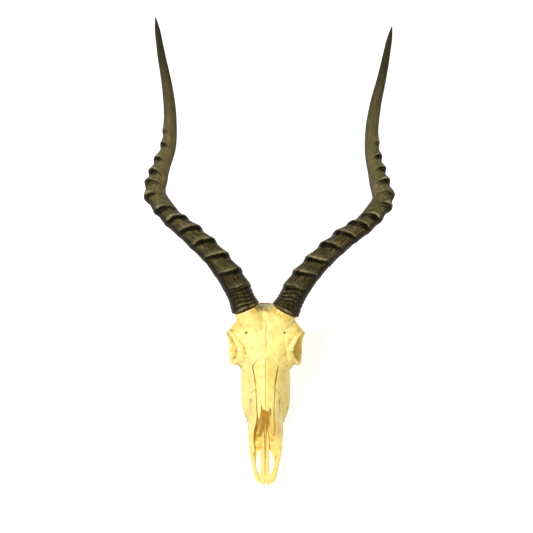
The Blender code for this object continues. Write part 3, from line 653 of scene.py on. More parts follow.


def bone_look(name, pale, cream, ochre, deep):
    finish, tree, shader = new_finish(name)
    place = add(tree, "TexCoord").outputs["Object"]
    stretched = add(tree, "Mapping", {"Vector": place, "Scale": (1.0, 0.22, 0.35)}).outputs["Vector"]
    cavity, seam = attribute(tree, "cavity"), attribute(tree, "seam")
    stain_and_shade, fat_and_painted_shade = attribute(tree, "stain_and_shade"), attribute(tree, "fat_and_painted_shade")
    broad, mottle = noise_at(tree, place, 26.0, 4.0), noise_at(tree, place, 130.0, 5.0, 0.6)
    fibres, dust = noise_at(tree, stretched, 420.0, 4.0, 0.6), noise_at(tree, place, 900.0, 3.0, 0.7)
    tone = ramp(tree, broad, ((0.3, pale), (0.52, cream), (0.75, ochre)))
    tone = blend(tree, span(tree, mottle, 0.5, 0.72, 0.0, 0.6), tone, ochre)
    tone = blend(tree, span(tree, fibres, 0.52, 0.7, 0.0, 0.35), tone, ochre)
    tone = blend(tree, span(tree, cavity, 0.56, 0.95, 0.0, 0.75), tone, deep)
    tone = blend(tree, span(tree, cavity, 0.44, 0.1, 0.0, 0.6), tone, pale)
    tone = blend(tree, span(tree, seam, 0.15, 0.9, 0.0, 0.7), tone, deep)
    # Golden colour: fat kept in the bone, and painted shade in the hollows of the nose.
    fat_and_shade_share = times(tree, fat_and_painted_shade, span(tree, mottle, 0.38, 0.6, 0.45, 1.0))
    golden = ramp(tree, mottle, ((0.4, colour(232, 198, 92)), (0.66, colour(190, 148, 52))))
    tone = blend(tree, fat_and_shade_share, tone, golden)
    # Soil and the gum's stain, and painted shade low on the sides of the muzzle, all in one colour.
    soil_and_shade = times(tree, stain_and_shade, span(tree, mottle, 0.3, 0.6, 0.35, 1.0))
    tone = blend(tree, soil_and_shade, tone, colour(126, 108, 64))
    pores = add(tree, "TexVoronoi", {"Vector": place, "Scale": 640.0}).outputs["Distance"]
    pitted = times(tree, span(tree, pores, 0.22, 0.05), span(tree, mottle, 0.52, 0.66))
    tone = blend(tree, times(tree, pitted, 0.6), tone, deep)
    tree.links.new(tone, shader.inputs["Base Color"])
    tree.links.new(span(tree, mottle, 0.3, 0.7, 0.42, 0.62), shader.inputs["Roughness"])
    # Painted glow: hollows in the nose give off a little light of their own, as light through thin bone
    # would.
    shader.inputs["Emission Color"].default_value = colour(220, 192, 94)
    tree.links.new(times(tree, attribute(tree, "painted_glow"), PAINTED_GLOW), shader.inputs["Emission Strength"])
    shader.inputs["Subsurface Weight"].default_value = 0.12
    shader.inputs["Subsurface Radius"].default_value = (1.0, 0.6, 0.25)
    shader.inputs["Subsurface Scale"].default_value = 2.0 * MM
    uneven = bump(tree, mottle, 0.35, 0.7 * MM)
    fibrous = bump(tree, fibres, 0.35, 0.25 * MM, uneven)
    gritty = bump(tree, dust, 0.2, 0.12 * MM, fibrous)
    tree.links.new(bump(tree, pitted, 0.6, 0.35 * MM, gritty, invert=True), shader.inputs["Normal"])
    return finish


deep_ochre = colour(150, 96, 24)
bone_finish = bone_look("bleached_bone", colour(236, 223, 146), colour(231, 212, 120), colour(214, 180, 86),
                        deep_ochre)
# The scrolls' finish is a deeper gold: partly fat, partly painted shade.
inner_finish = bone_look("inner_bone_scroll", colour(238, 214, 128), colour(222, 188, 92),
                         colour(196, 154, 62), deep_ochre)
print("bone finishes:", bone_finish.name, inner_finish.name)

# %% [markdown]
# ## The skull
#
# Braincase, forehead, cheeks and palate are one bone here, as they fuse in an old ram. Its body is a stack
# of cross-sections, drawn for one side and mirrored, and extruded from the palate to the back of the head.
# The eye rims, cheek arches, ear bones and joints at the neck are rods and eggs that grow into it. The
# nasal passage, the eye sockets and the nerve holes are then cut out of it.

# %% Cross-sections, each from the midline below, round the side, to the midline above: y, then (x, z) in mm
CRANIUM = (
    (84, (0, 14), (12, 14), (18.5, 15), (21.2, 22), (20.2, 32), (17.5, 45), (13.5, 57), (8, 64.5), (0, 67)),
    (98, (0, 15), (14, 14), (24, 14), (27, 22), (25.5, 34), (20.5, 50), (14.5, 63.5), (8.5, 71), (0, 73.5)),
    (113, (0, 16), (16, 14), (28, 13.5), (31, 26), (29.3, 38), (23.5, 56), (17, 70), (9.5, 77.5), (0, 80)),
    (128, (0, 17), (17, 14), (29, 13.5), (31.2, 28), (30.6, 42), (26, 60), (20, 75), (11.5, 84), (0, 86.5)),
    (141, (0, 18), (18, 14), (29, 13.5), (31, 28), (31.2, 44), (30, 64), (25, 80), (14, 90.5), (0, 92.5)),
    (153, (0, 20), (18, 15), (28.5, 13.5), (29, 26), (27, 42), (25, 66), (30, 88), (18, 96.5), (0, 98)),
    (168, (0, 26), (16, 15), (27, 13.5), (25, 24), (20, 40), (19, 70), (40, 96.5), (24, 104), (0, 105)),
    (182, (0, 26), (12, 24), (16, 28), (17, 36), (18, 50), (21, 76), (41, 96), (31, 108), (0, 112.5)),
    (194, (0, 26), (14, 26), (20, 32), (24, 44), (27, 58), (29, 80), (34.5, 101), (26, 111), (0, 115)),
    (200, (0, 26), (14, 26), (24, 34), (30, 46), (32, 60), (32, 80), (32.5, 97), (23, 109), (0, 114)),
    (209, (0, 24), (14, 24), (25, 32), (31, 44), (33, 58), (32, 76), (29, 90), (18, 100.5), (0, 104)),
    (221, (0, 23), (14, 24), (25, 32), (31, 44), (32, 56), (30, 69), (25, 79), (14, 86), (0, 87.5)),
    (232, (0, 27), (14, 27), (26, 34), (31, 44), (31, 54), (28, 63), (22, 68), (12, 71), (0, 72)),
    (240, (0, 32), (12, 31), (22, 36), (27, 44), (27, 52), (24, 58), (17, 61.5), (9, 63.5), (0, 64)),
)
PASSAGE = (
    (46, (0, 18.6), (9, 18.8), (14, 21), (15, 26), (15, 34), (14, 46), (12, 58), (8, 68), (0, 70)),
    (84, (0, 18.6), (10, 18.8), (15.4, 21), (16.6, 26), (16, 34), (13.6, 45), (9.8, 55), (5, 65), (0, 66)),
    (98, (0, 19), (12, 19.2), (18, 22), (20.6, 28), (19.8, 38), (15.6, 50), (10.2, 60), (5, 69.5), (0, 71.5)),
    (113, (0, 20), (13, 20.4), (20, 24), (23.4, 30), (22, 40), (17.6, 54), (11, 66), (6, 74), (0, 76)),
    (128, (0, 22), (12, 23), (18, 27), (21, 34), (20, 44), (16, 58), (10, 70), (5, 78), (0, 80)),
    (137, (0, 28), (7, 29), (11, 33), (13, 39), (12, 47), (9, 58), (6, 66), (3, 72), (0, 74)),
)


def sections(table, step):
    """Full rings through the half-sections of a table, one every step mm."""
    ys = np.array([row[0] for row in table], float)
    halves = np.array([row[1:] for row in table], float)
    at = np.linspace(ys[0], ys[-1], int((ys[-1] - ys[0]) / step) + 1)
    rings = []
    for y, half in zip(at, spline(ys, halves, at)):
        count = len(half)
        half = spline(np.arange(count), half, np.linspace(0, count - 1, 3 * count - 2))
        half[0, 0] = half[-1, 0] = 0
        rings.append(np.array([(x, y, z) for x, z in half] + [(-x, y, z) for x, z in half[-2:0:-1]]) * MM)
    return rings


# %% Rims, arches and joints that grow into the body
ORBIT_RIM = ((30, 151, 89), (35.5, 158, 94.5), (41, 168, 97.5), (47, 177.5, 88), (48, 183, 78.5),
             (45.5, 184, 67), (43.6, 175, 59), (43.2, 163, 57), (42.2, 150.5, 59.5), (35, 148, 73),
             (30, 151, 89), (35.5, 158, 94.5))
PALATE_HALF, PALATE_FRONT = 14.2, 60.5
PALATE_RISE = ((64, 78, 90), (15.2, 17.2, 18.2))  # y, z of its upper side, which is thin in front


def palate_top(y):
    return np.interp(y, *PALATE_RISE)


def palate_rings():
    return [np.array([(-PALATE_HALF, y, 12.6), (PALATE_HALF, y, 12.6), (PALATE_HALF, y, palate_top(y)),
                      (-PALATE_HALF, y, palate_top(y))]) * MM for y in (PALATE_FRONT - 1, *PALATE_RISE[0])]


def horn_ring(curve, s, grow, count=48):
    turn = np.linspace(0, 2 * pi, count, endpoint=False)
    return curve.place(np.full(count, s), turn, grow)


blank = [extrude_through("cranium", sections(CRANIUM, 3)), extrude_through("palate", palate_rings())]
blank += both_rods("orbit rim", ORBIT_RIM, [3.1] * len(ORBIT_RIM))
blank += both_rods("brow", ((26, 190, 100), (36, 183, 97), (46, 177, 89.5)), (8, 5, 3.2))
blank += both_blobs("tear bone", (29, 150, 74), (7.5, 8, 15), (0, 0, 20))
blank += both_rods("cheek root", ((25, 160, 33), (31, 164, 43), (37, 167, 52), (43, 163, 57)), (7, 7, 6.2, 4))
blank += both_rods("arch", ((43, 164, 58), (43, 180, 59), (41, 196, 56), (37.5, 211, 50), (30, 222, 44)),
                   (3.8, 4.2, 4.2, 5, 6))
blank += both_rods("arch inside", ((38.5, 171, 58), (39, 180, 59), (39.6, 189, 60)), (3.2, 3.2, 2.8))
blank += both_rods("cheek edge", ((42.2, 150.5, 59.5), (37, 150.5, 61), (32, 149, 61)), (3.1, 3, 3))
blank += both_blobs("condyle", (11.5, 242, 38), (7.5, 8, 11), (0, 0, -15))
blank += both_blobs("bulla", (20, 216, 21), (7, 13, 9))
blank += both_rods("ear tube", ((26, 222, 38), (36, 226, 46)), (6, 5))
blank += both_rods("paroccipital", ((26, 229, 40), (27.5, 235, 22), (27, 237, 8), (26.5, 238, -4)),
                   (7, 5, 4, 3))
blank += both_blobs("pterygoid", (11.5, 180, 24), (2.6, 15, 13))
blank += both_rods("nape", ((1, 236, 66), (15, 235, 63), (26, 232, 55), (30, 228, 47)), (3.5, 3, 3, 3))
for curve in (left_curve, right_curve):
    blank.append(extrude_through("pedicle", [horn_ring(curve, s * MM, grow * MM)
                                             for s, grow in ((-30, 3), (-12, 0.5), (3, -0.8))]))
skull = joined("skull_bone", blank)
fuse(skull, 1.3 * MM, 0)
print("skull grown together:", len(skull.data.polygons), "faces")

# %% [markdown]
# ### Hollows and nerve holes
#
# The eye sockets are eggs that look a little forward. Nerves and vessels leave the skull through small
# round holes: above each eye, at the tear bone in front of it, and low on the side of the muzzle. They are
# drilled with thin rods.

# %% Cut the hollows, the nerve holes and the hole for the spinal cord
ORBIT_FORWARD = 19


def hole(centre, direction, radius, depth=9):
    """A drill in mm whose middle is at the bone's surface."""
    centre, direction = np.array(centre, float), np.array(direction, float)
    direction *= depth / 2 / np.linalg.norm(direction)
    return rod("drill", [centre - direction, centre, centre + direction], [radius] * 3)


def on_face(across, up, out=0.0):
    return face_plane(across * MM, up * MM, out * MM) / MM


for side in (1, -1):
    cut(skull, blob("orbit", (side * 47, 166, 78), (28, 17.4, 17.4), (0, 0, -side * ORBIT_FORWARD)))
cut(skull, extrude_through("passage", sections(PASSAGE, 4)))
cut(skull, blob("foramen magnum", (0, 244, 45), (8.5, 22, 8.5)), blob("throat", (0, 174, 24), (8, 16, 9)))
fuse(skull, 1.2 * MM, 4)

surface = points_of(skull)
face_spots = spots_on_face(surface)


def surface_out(across, up):
    """How far out of the face plane the bone's surface is at a place on it, in mm."""
    near = np.linalg.norm(face_spots - np.array((across, up)) * MM, axis=1) < 2 * MM
    return ((surface[near] @ OUT_OF_FACE).max() - NOSE_TIP_HEIGHT * sin(FACE_TILT)) / MM


# Across and up the face plane, and radius: the holes over the eyes, then those in front of them.
FACE_HOLES = ((-24.2, -29, 1.7), (24.2, -29, 1.5), (-29.6, -66, 1.2), (27.3, -70.6, 1.1), (-34, -61, 0.8))
for across, up, radius in FACE_HOLES:
    cut(skull, hole(on_face(across, up, surface_out(across, up)), OUT_OF_FACE + (0, 0.25, 0), radius))
for side in (1, -1):
    cut(skull, hole((side * 28, 104, 27), (side, -0.1, 0), 2.2, 8))
    cut(skull, hole((side * 19, 185, 60), (side, -0.5, 0), 2.4, 10))
print("skull with its hollows:", len(skull.data.polygons), "faces")

# %% [markdown]
# ### Seats for the other pieces
#
# The horns, the nasal bones, the premaxillae and the teeth are pieces of their own, so the skull leaves
# room for each: a flat seat under each horn, a bed for the nasal bones with an open slit on each side, a
# slanted front edge on the cheeks, and a ledge above the teeth.

# %% The arch of the nose, and the bed in it
NASAL_THICK = 3.2
NASAL_EDGE = ((66, 10.0), (86, 10.8), (98, 11.2), (105, 12.5), (115, 14.0), (125, 15.6), (132, 16.8),
              (143, 16.8))
NASAL_BACK, NASAL_BACK_SLANT = 143, 11
SLIT, SLIT_WIDE, SEAM = (107, 131), 2.0, 0.3


def nasal_top(x, y):
    return 60 + 0.424 * (y - 66) - 0.028 * x * x


def bed_edge(y):
    return np.interp(y, *zip(*NASAL_EDGE))


def nasal_back(share, gap=0):
    """Where the nasal bones end behind, at a share of their width, with a gap left before their bed."""
    return NASAL_BACK - gap - NASAL_BACK_SLANT * share**1.5


def arched_rings(shares, edge, inner, front, back, rise, sink, count):
    """Rings of an arched plate over the nose. Shares run across it; front and back give its ends there."""
    rings = []
    for along in np.linspace(0, 1, count):
        top, under = [], []
        for share in shares:
            y = front(abs(share)) + (back(abs(share)) - front(abs(share))) * along
            x = inner + (edge(y) - inner) * share
            top.append((x, y, nasal_top(x, y) + rise))
            under.append((x, y, nasal_top(x, y) - sink))
        rings.append(np.array(top + under[::-1]) * MM)
    return rings


# %% Cut the seats
ROW_OUTER = ((96, 22.8), (104, 24.8), (112, 27.0), (120, 28.8), (135, 29.6), (155, 29.2), (172, 27.6))
GUM_LINE = 15
FACE_EDGE = ((84, 15), (103, 55))


def slab(name, low, high):
    """A box between two corners in mm."""
    ring = [(low[0], low[1]), (high[0], low[1]), (high[0], high[1]), (low[0], high[1])]
    return extrude_through(name, [np.array([(x, y, z) for x, y in ring]) * MM for z in (low[2], high[2])])


def front_trim():
    (y0, z0), (y1, z1) = FACE_EDGE
    slope = (y1 - y0) / (z1 - z0)
    low = palate_top(90) + 0.5
    profile = [(40, low), (y0 + slope * (low - z0), low), (y1 + slope * (60 - z1), 60),
               (y1 + slope * (60 - z1), 110), (40, 110)]
    return extrude_through("face edge", [np.array([(x, y, z) for y, z in profile]) * MM for x in (-60, 60)])


def gum_ledge(side):
    rings = []
    for y in (96, 104, 112, 120, 135, 155, 171.5):
        outer = np.interp(y, *zip(*ROW_OUTER))
        inner = outer - np.interp(y, (96, 120, 171), (9.5, 13.5, 14.5))
        corners = ((inner, -8), (outer + 7, -8), (outer + 7, GUM_LINE), (inner, GUM_LINE))
        rings.append(np.array([(side * x, y, z) for x, z in corners]) * MM)
    return extrude_through("gum ledge", rings)


for curve in (left_curve, right_curve):
    foot = horn_ring(curve, -SEAM * MM, 6 * MM)
    cut(skull, extrude_through("horn seat", [foot, foot + 25 * MM * curve.tangents[0] * (curve.side, 1, 1)]))
cut(skull, front_trim())
nasal_bed = arched_rings(np.linspace(-1, 1, 17), bed_edge, 0, lambda j: 56, nasal_back, 9,
                         NASAL_THICK + SEAM, 40)
cut(skull, extrude_through("nasal bed", nasal_bed))
for side in (1, -1):
    cut(skull, gum_ledge(side))
    low, high = sorted((side * PALATE_HALF, side * 40))
    cut(skull, slab("premaxilla side", (low, 40, -5), (high, 84.6, 40)))
cut(skull, slab("palate front", (-40, 30, -5), (40, PALATE_FRONT, 60)),
    slab("floor", (-60, 150, -20), (60, 280, 0)))
fuse(skull, 0.8 * MM, 1)
print("skull with its seats:", len(skull.data.polygons), "faces")

# %% [markdown]
# ### Seams, grooves and the rough edge under the horns
#
# Bones of a skull interlock along wavy seams. The ones on the face are drawn on the face plane, those of
# the braincase and cheek as seen from the side, and those of the palate as seen from below. A groove for a
# blood vessel runs down from the nerve hole over each eye. The bone is also never quite even, and it is
# spongy where it met the horns.

# %% Press the marks into the bone
def mark_seams(points, normals):
    """The seams' depth in metres and darkness at each point, and its place on the face plane."""
    depth, dark = np.zeros(len(points)), np.zeros(len(points))
    face = spots_on_face(points)
    side = np.stack([points[:, 1], points[:, 2]], axis=1)
    below = np.stack([np.abs(points[:, 0]), points[:, 1]], axis=1)
    front_on, side_on, under_on = ((face, normals @ OUT_OF_FACE), (side, np.abs(normals[:, 0])),
                                   (below, -normals[:, 2]))
    # Each mark: the plane it is drawn on, its line, then its width in mm, its depth in mm and its darkness.
    marks = [
        (front_on, track(((0.4, -14), (1.2, -22), (0.2, -30), (1.2, -38), (0.4, -47)), 0.35, 6.5),
         1.2, 0.4, 0.4),
        (front_on, track(((0.5, 6), (-0.8, -4), (0.6, -14), (0.2, -50), (-1, -55)), 0.6), 0.7, 0.2, 0.18),
        (front_on, track(((-18.8, -113), (-19.2, -122), (-20, -133)), 0.2), 1.1, 1.3, 1.0),
        (front_on, track(((17.9, -114), (18.2, -124), (18.6, -135)), 0.2), 1.1, 1.3, 1.0),
        (front_on, track(((16.5, -71), (20, -61), (25, -55.5), (31, -53), (34, -53)), 1.3, 3.7),
         0.6, 0.4, 0.5),
        (front_on, track(((-16.5, -71), (-20, -62), (-24, -56), (-30, -53), (-34, -52)), 1.3, 3.9),
         0.6, 0.4, 0.5),
        (front_on, track(((17, -73), (22, -78), (30, -75), (37, -67)), 1.2, 4.6), 0.6, 0.35, 0.4),
        (front_on, track(((-17, -73), (-22, -79), (-31, -75), (-38, -66)), 1.2, 4.3), 0.6, 0.35, 0.4),
        (front_on, track(((23.8, -31), (23.4, -42), (24, -57))), 2.4, 0.6, 0.12),
        (front_on, track(((-24, -31), (-25, -41), (-27.5, -52))), 1.8, 0.35, 0.1),
        (side_on, track(((146, 60), (141, 50), (147, 40), (156, 30), (161, 22)), 0.6), 0.7, 0.4, 0.8),
        (side_on, track(((207, 100), (204, 88), (200, 76), (194, 64), (190, 54)), 1.0), 0.8, 0.5, 0.9),
        (side_on, track(((199, 72), (210, 76), (222, 72), (231, 60)), 0.8), 0.8, 0.45, 0.9),
        (side_on, track(((183, 62), (189, 58), (194, 52)), 0.4), 0.6, 0.5, 0.9),
        (under_on, track(((0, 62), (0, 110), (0, 166)), 0.3), 0.7, 0.5, 0.9),
        (under_on, track(((0, 147), (7, 149), (14, 156)), 0.7), 0.7, 0.5, 0.9),
    ]
    for (places, towards), line, width, deep, tint in marks:
        near = nearness(places, towards, line, width * MM)
        depth, dark = np.maximum(depth, near * deep * MM), np.maximum(dark, near * tint)
    return depth, dark, face


def spongy(points, curve):
    """1 on the bone right under a horn's foot, and nearly 0 from 9 mm away."""
    axis = curve.points[0] * (curve.side, 1, 1)
    tangent = curve.tangents[0] * (curve.side, 1, 1)
    below = (points - axis) @ tangent
    aside = np.linalg.norm(points - axis - below[:, None] * tangent, axis=1)
    return np.exp(-((below / (5 * MM)) ** 2)) * np.exp(-((np.maximum(aside - 20 * MM, 0) / (5 * MM)) ** 2))


ROOT_SPACING = 7.2 * MM
SKULL_TRIANGLES = 190000
points, normals = points_of(skull), normals_of(skull)
depth, seam, face = mark_seams(points, normals)
rough = np.maximum(spongy(points, left_curve), spongy(points, right_curve))
# A soiled patch on the crest between the horns, and the gum's edge, which is scalloped round the roots.
patch = np.exp(-(((face[:, 0] + 3 * MM) / (9 * MM)) ** 4)) * smoothstep(-5 * MM, 0, face[:, 1])
patch *= (normals @ OUT_OF_FACE > 0) * (1 - smoothstep(9 * MM, 14 * MM, face[:, 1]))
patch *= smoothstep(-60 * MM, -36 * MM, points @ OUT_OF_FACE)
gum = smoothstep(22 * MM, 15.5 * MM, points[:, 2]) * smoothstep(95 * MM, 99 * MM, points[:, 1])
gum *= smoothstep(172 * MM, 165 * MM, points[:, 1]) * (np.abs(points[:, 0]) > 12 * MM)
spongy_grain = 0.75 * MM * grain_noise(points, 260, 9.0) + 0.4 * MM * grain_noise(points, 600, 2.0)
lift = 0.30 * MM * grain_noise(points, 110) + 0.14 * MM * grain_noise(points, 330, 5.0)
lift += (rough + 0.6 * patch) * spongy_grain
lift += 0.5 * MM * gum * np.cos(2 * pi * points[:, 1] / ROOT_SPACING)
put_points(skull, points + normals * (lift - depth)[:, None])
fatty = spongy(points, left_curve) * smoothstep(0.0, 0.4, grain_noise(points, 200, 14.0))
keep(skull, "seam", np.maximum(seam, 0.9 * fatty))
# Painted shade low on the sides of the muzzle, laid into the stain attribute.
painted_muzzle_shade = smoothstep(30 * MM, 20 * MM, points[:, 2]) * smoothstep(116 * MM, 104 * MM, points[:, 1])
painted_muzzle_shade *= np.abs(points[:, 0]) > 21 * MM
keep(skull, "stain_and_shade", np.clip(0.85 * patch + 0.45 * gum + 0.8 * painted_muzzle_shade, 0, 1))
# Golden colour: fat that stays round the feet of the horns, and painted shade inside the nose and holes.
x, y, z = points.T
inwards = np.maximum(smoothstep(0.1, 0.5, -np.sign(x) * normals[:, 0]), smoothstep(0.2, 0.6, -normals[:, 2]))
in_nose = inwards * (np.abs(x) < 24 * MM) * (z > 20 * MM) * (z < 80 * MM)
in_nose = np.maximum(in_nose, (np.abs(x) < 19 * MM) * (z < 32 * MM) * smoothstep(0.3, 0.7, normals[:, 2]))
in_nose *= smoothstep(58 * MM, 64 * MM, y) * (y < 139 * MM)
in_hole = np.zeros(len(points))
for across, up, radius in FACE_HOLES:
    aside = np.linalg.norm(face - np.array((across, up)) * MM, axis=1)
    in_hole = np.maximum(in_hole, np.exp(-((aside / ((radius + 0.4) * MM)) ** 6)))
greasy = np.maximum(spongy(points, left_curve), 0.6 * spongy(points, right_curve))
keep(skull, "fat_and_painted_shade", np.clip(np.maximum(0.9 * in_nose + 0.95 * greasy, 0.8 * in_hole), 0, 1))
# Painted glow low inside the nose and in the nerve holes.
keep(skull, "painted_glow", np.clip(np.maximum(in_nose * smoothstep(62 * MM, 50 * MM, z), 0.12 * in_hole), 0, 1))
keep_cavity(skull, 0.28 * MM, 6)
thin_out(skull, SKULL_TRIANGLES)
finish_piece(skull, "skull", bone_finish)

# %% [markdown]
# ## The nasal bones
#
# Two thin arched plates roof the nose. Each ends in two prongs with a pointed notch between them, and they
# meet the forehead at a rounded back edge. A plate is extruded along the nose, with its front edge shaped
# share by share across its width, and a fine remesh rounds its rims.

# %% Extrude the two plates
def nasal_edge(y):
    return bed_edge(y) - np.interp(y, (SLIT[0] - 4, SLIT[0], SLIT[1] - 2, SLIT[1] + 2),
                                   (1.5 * SEAM, SLIT_WIDE, SLIT_WIDE, 1.5 * SEAM))


def add_wear(piece, reach=0.25 * MM, unevenness=0.12 * MM):
    """Uneven ground and the attributes of the bone finish, for a small bone."""
    points, normals = points_of(piece), normals_of(piece)
    depth, seam, _ = mark_seams(points, normals)
    put_points(piece, points + normals * (unevenness * grain_noise(points, 240, 4.0) - depth)[:, None])
    keep(piece, "seam", seam)
    for label in ("stain_and_shade", "fat_and_painted_shade", "painted_glow"):
        keep(piece, label, np.zeros(len(points)))
    keep_cavity(piece, reach, 5)


NASAL_STRIPS = 40


def nasal(name, side, prongs):
    arches = np.array(arched_rings(np.linspace(0, 1, NASAL_STRIPS), nasal_edge, SEAM / 2,
                                   lambda j: np.interp(j, *zip(*prongs)),
                                   lambda j: nasal_back(j, SEAM), 0, NASAL_THICK, 60))
    # Strips from front to back, laid side by side from the midline outwards, follow the notches in front.
    top, under = arches[:, :NASAL_STRIPS], arches[:, :NASAL_STRIPS - 1:-1]
    strips = [np.concatenate([top[:, k], under[::-1, k]]) * (side, 1, 1) for k in range(NASAL_STRIPS)]
    piece = extrude_through(name, strips)
    fuse(piece, 0.5 * MM, 3)
    add_wear(piece)
    return piece


# Each nasal bone ends in two prongs. These are shares of its width, and y of its front edge there, in mm.
LEFT_PRONGS = ((0, 78.5), (0.2, 77), (0.33, 76.4), (0.46, 78.5), (0.55, 82.5), (0.585, 84.2), (0.63, 81),
               (0.74, 77), (0.85, 71), (0.94, 67.9), (1, 69))
RIGHT_PRONGS = ((0, 79), (0.1, 78.1), (0.3, 79), (0.4, 81.5), (0.47, 86.6), (0.53, 84), (0.58, 78),
                (0.68, 72), (0.8, 68.6), (0.9, 70), (1, 75))
finish_piece(nasal("nasal_plate_left", 1, LEFT_PRONGS), "nasal_left", bone_finish)
finish_piece(nasal("nasal_plate_right", -1, RIGHT_PRONGS), "nasal_right", bone_finish)

# %% [markdown]
# ## The premaxillae
#
# The tip of the muzzle is a pair of light bones. Each has a flat plate beside the midline, a long open slot
# that a scent organ's duct once filled, a thick outer rim, and a bar that climbs beside the nose opening.
# Plate, rim and bar are joined and grown together, and the slot is cut through them.

# %% Grow and cut the two bones
PREMAX_OUTLINE = ((0, 5.0), (3, 9), (8.5, 12.4), (16, 15.0), (24, 16.3), (31, 17.7), (39, 19.7), (47, 21.0),
                  (56, 22.0), (62, 22.2))
NOTCH = ((0.6, 6.5), (1.3, -0.1))  # y, x of the notch between the two rounded tips
RIM = ((6, 3.4, 13.7), (9.6, 6.6, 13.8), (12.2, 16, 14), (14.4, 28, 14.6), (16.7, 40, 15.4), (18.2, 50, 16))
RIM_RADII = (2.2, 2.5, 2.6, 2.7, 2.8, 2.6)
# A bar beside the midline, and on over the palate.
BAR = ((2.9, 4.5, 13.6), (2.8, 14, 14.0), (2.7, 30, 14.6), (2.7, 46, 15.2), (2.9, 58.2, 16.8),
       (2.7, 68, 18.0), (2.3, 77, 18.9))
BAR_RADII = (2.0, 2.4, 2.5, 2.3, 2.0, 1.5, 0.7)
# Once round the palatine slot, as x and y: wide in the middle, and cut off aslant at the back.
SLOT = ((5.5, 24), (5.7, 15), (6.4, 12.2), (8.2, 15.4), (10.4, 22.5), (11.4, 30), (11.3, 37), (9.6, 43.5),
        (7.4, 49), (5.9, 52), (5.4, 48), (5.4, 36), (5.5, 24))
SLOT_SHIFT = {1: -0.8, -1: 0.6}  # mm; the two slots are not quite alike
# The outer and the inner line of the wall beside the nose opening, from the muzzle up to the nasal bones.
WALL = (((17.0, 44, 14.6), (43, 16.6)), ((19.6, 52, 15), (49.5, 18.5)), ((21.4, 62, 15.6), (57.5, 21.5)),
        ((21.9, 74, 17), (64, 30.5)), ((21.6, 83, 19.8), (67.5, 41)), ((21.4, 89.0, 29.8), (72, 53)),
        ((21.4, 93.8, 39.8), (80, 59.3)), ((20.2, 98.3, 49), (90, 63.8)), ((18.8, 102, 56.5), (98, 66.5)),
        ((16.6, 104.6, 62), (104.6, 69.4)))
# How far that inner line is from the midline. The opening bulges lower down, more so on the animal's right.
WALL_INNER = {1: (12.6, 11.8, 11.4, 12.4, 13.0, 11.8, 11.6, 11.8, 12.1, 12.6),
              -1: (13.0, 14.0, 15.2, 15.0, 13.4, 11.4, 11.4, 11.8, 12.1, 12.6)}
PAINTED_SHADE_FROM = {1: 53, -1: 46}  # y from which the plate lies in the shade of its wall and is painted with golden shade
# The plate's middle height and half its thickness, and the height of the floor's outer edge: at y, in mm.
PLATE_END = 64
PLATE_MIDDLE = ((14, 13.6), (28, 12.8), (55, 12.8), (59.4, 16.1), (PLATE_END, 16.6))
PLATE_HALF = ((14, 2.1), (28, 1.4), (56, 1.4), (59.4, 0.6), (PLATE_END, 0.4))
FLOOR_OUTER = ((62, 15.0), (74, 16.4), (84, 18.6))


def nose_wall(name, flip):
    """Extrudes a thin leaf that spans the two lines, bowed a little outwards."""
    stations = [(outer, (x, *inner)) for (outer, inner), x in zip(WALL, WALL_INNER[flip[0]])]
    lines = spline(np.arange(len(WALL)), np.array(stations, float), np.linspace(0, len(WALL) - 1, 40))
    rings = []
    for outer, inner in lines * flip:
        leaf = np.cross(inner - outer, np.array((0, 0.5, 0.85)) * flip)
        leaf /= np.linalg.norm(leaf)
        bow = leaf * 0.5 * np.sign(leaf[0] * flip[0])
        middle = (outer + inner) / 2 + bow
        rings.append(np.array([outer + leaf, middle + leaf, inner + 0.7 * leaf,
                               inner - 0.7 * leaf, middle - leaf, outer - leaf]) * MM)
    return extrude_through(name, rings)


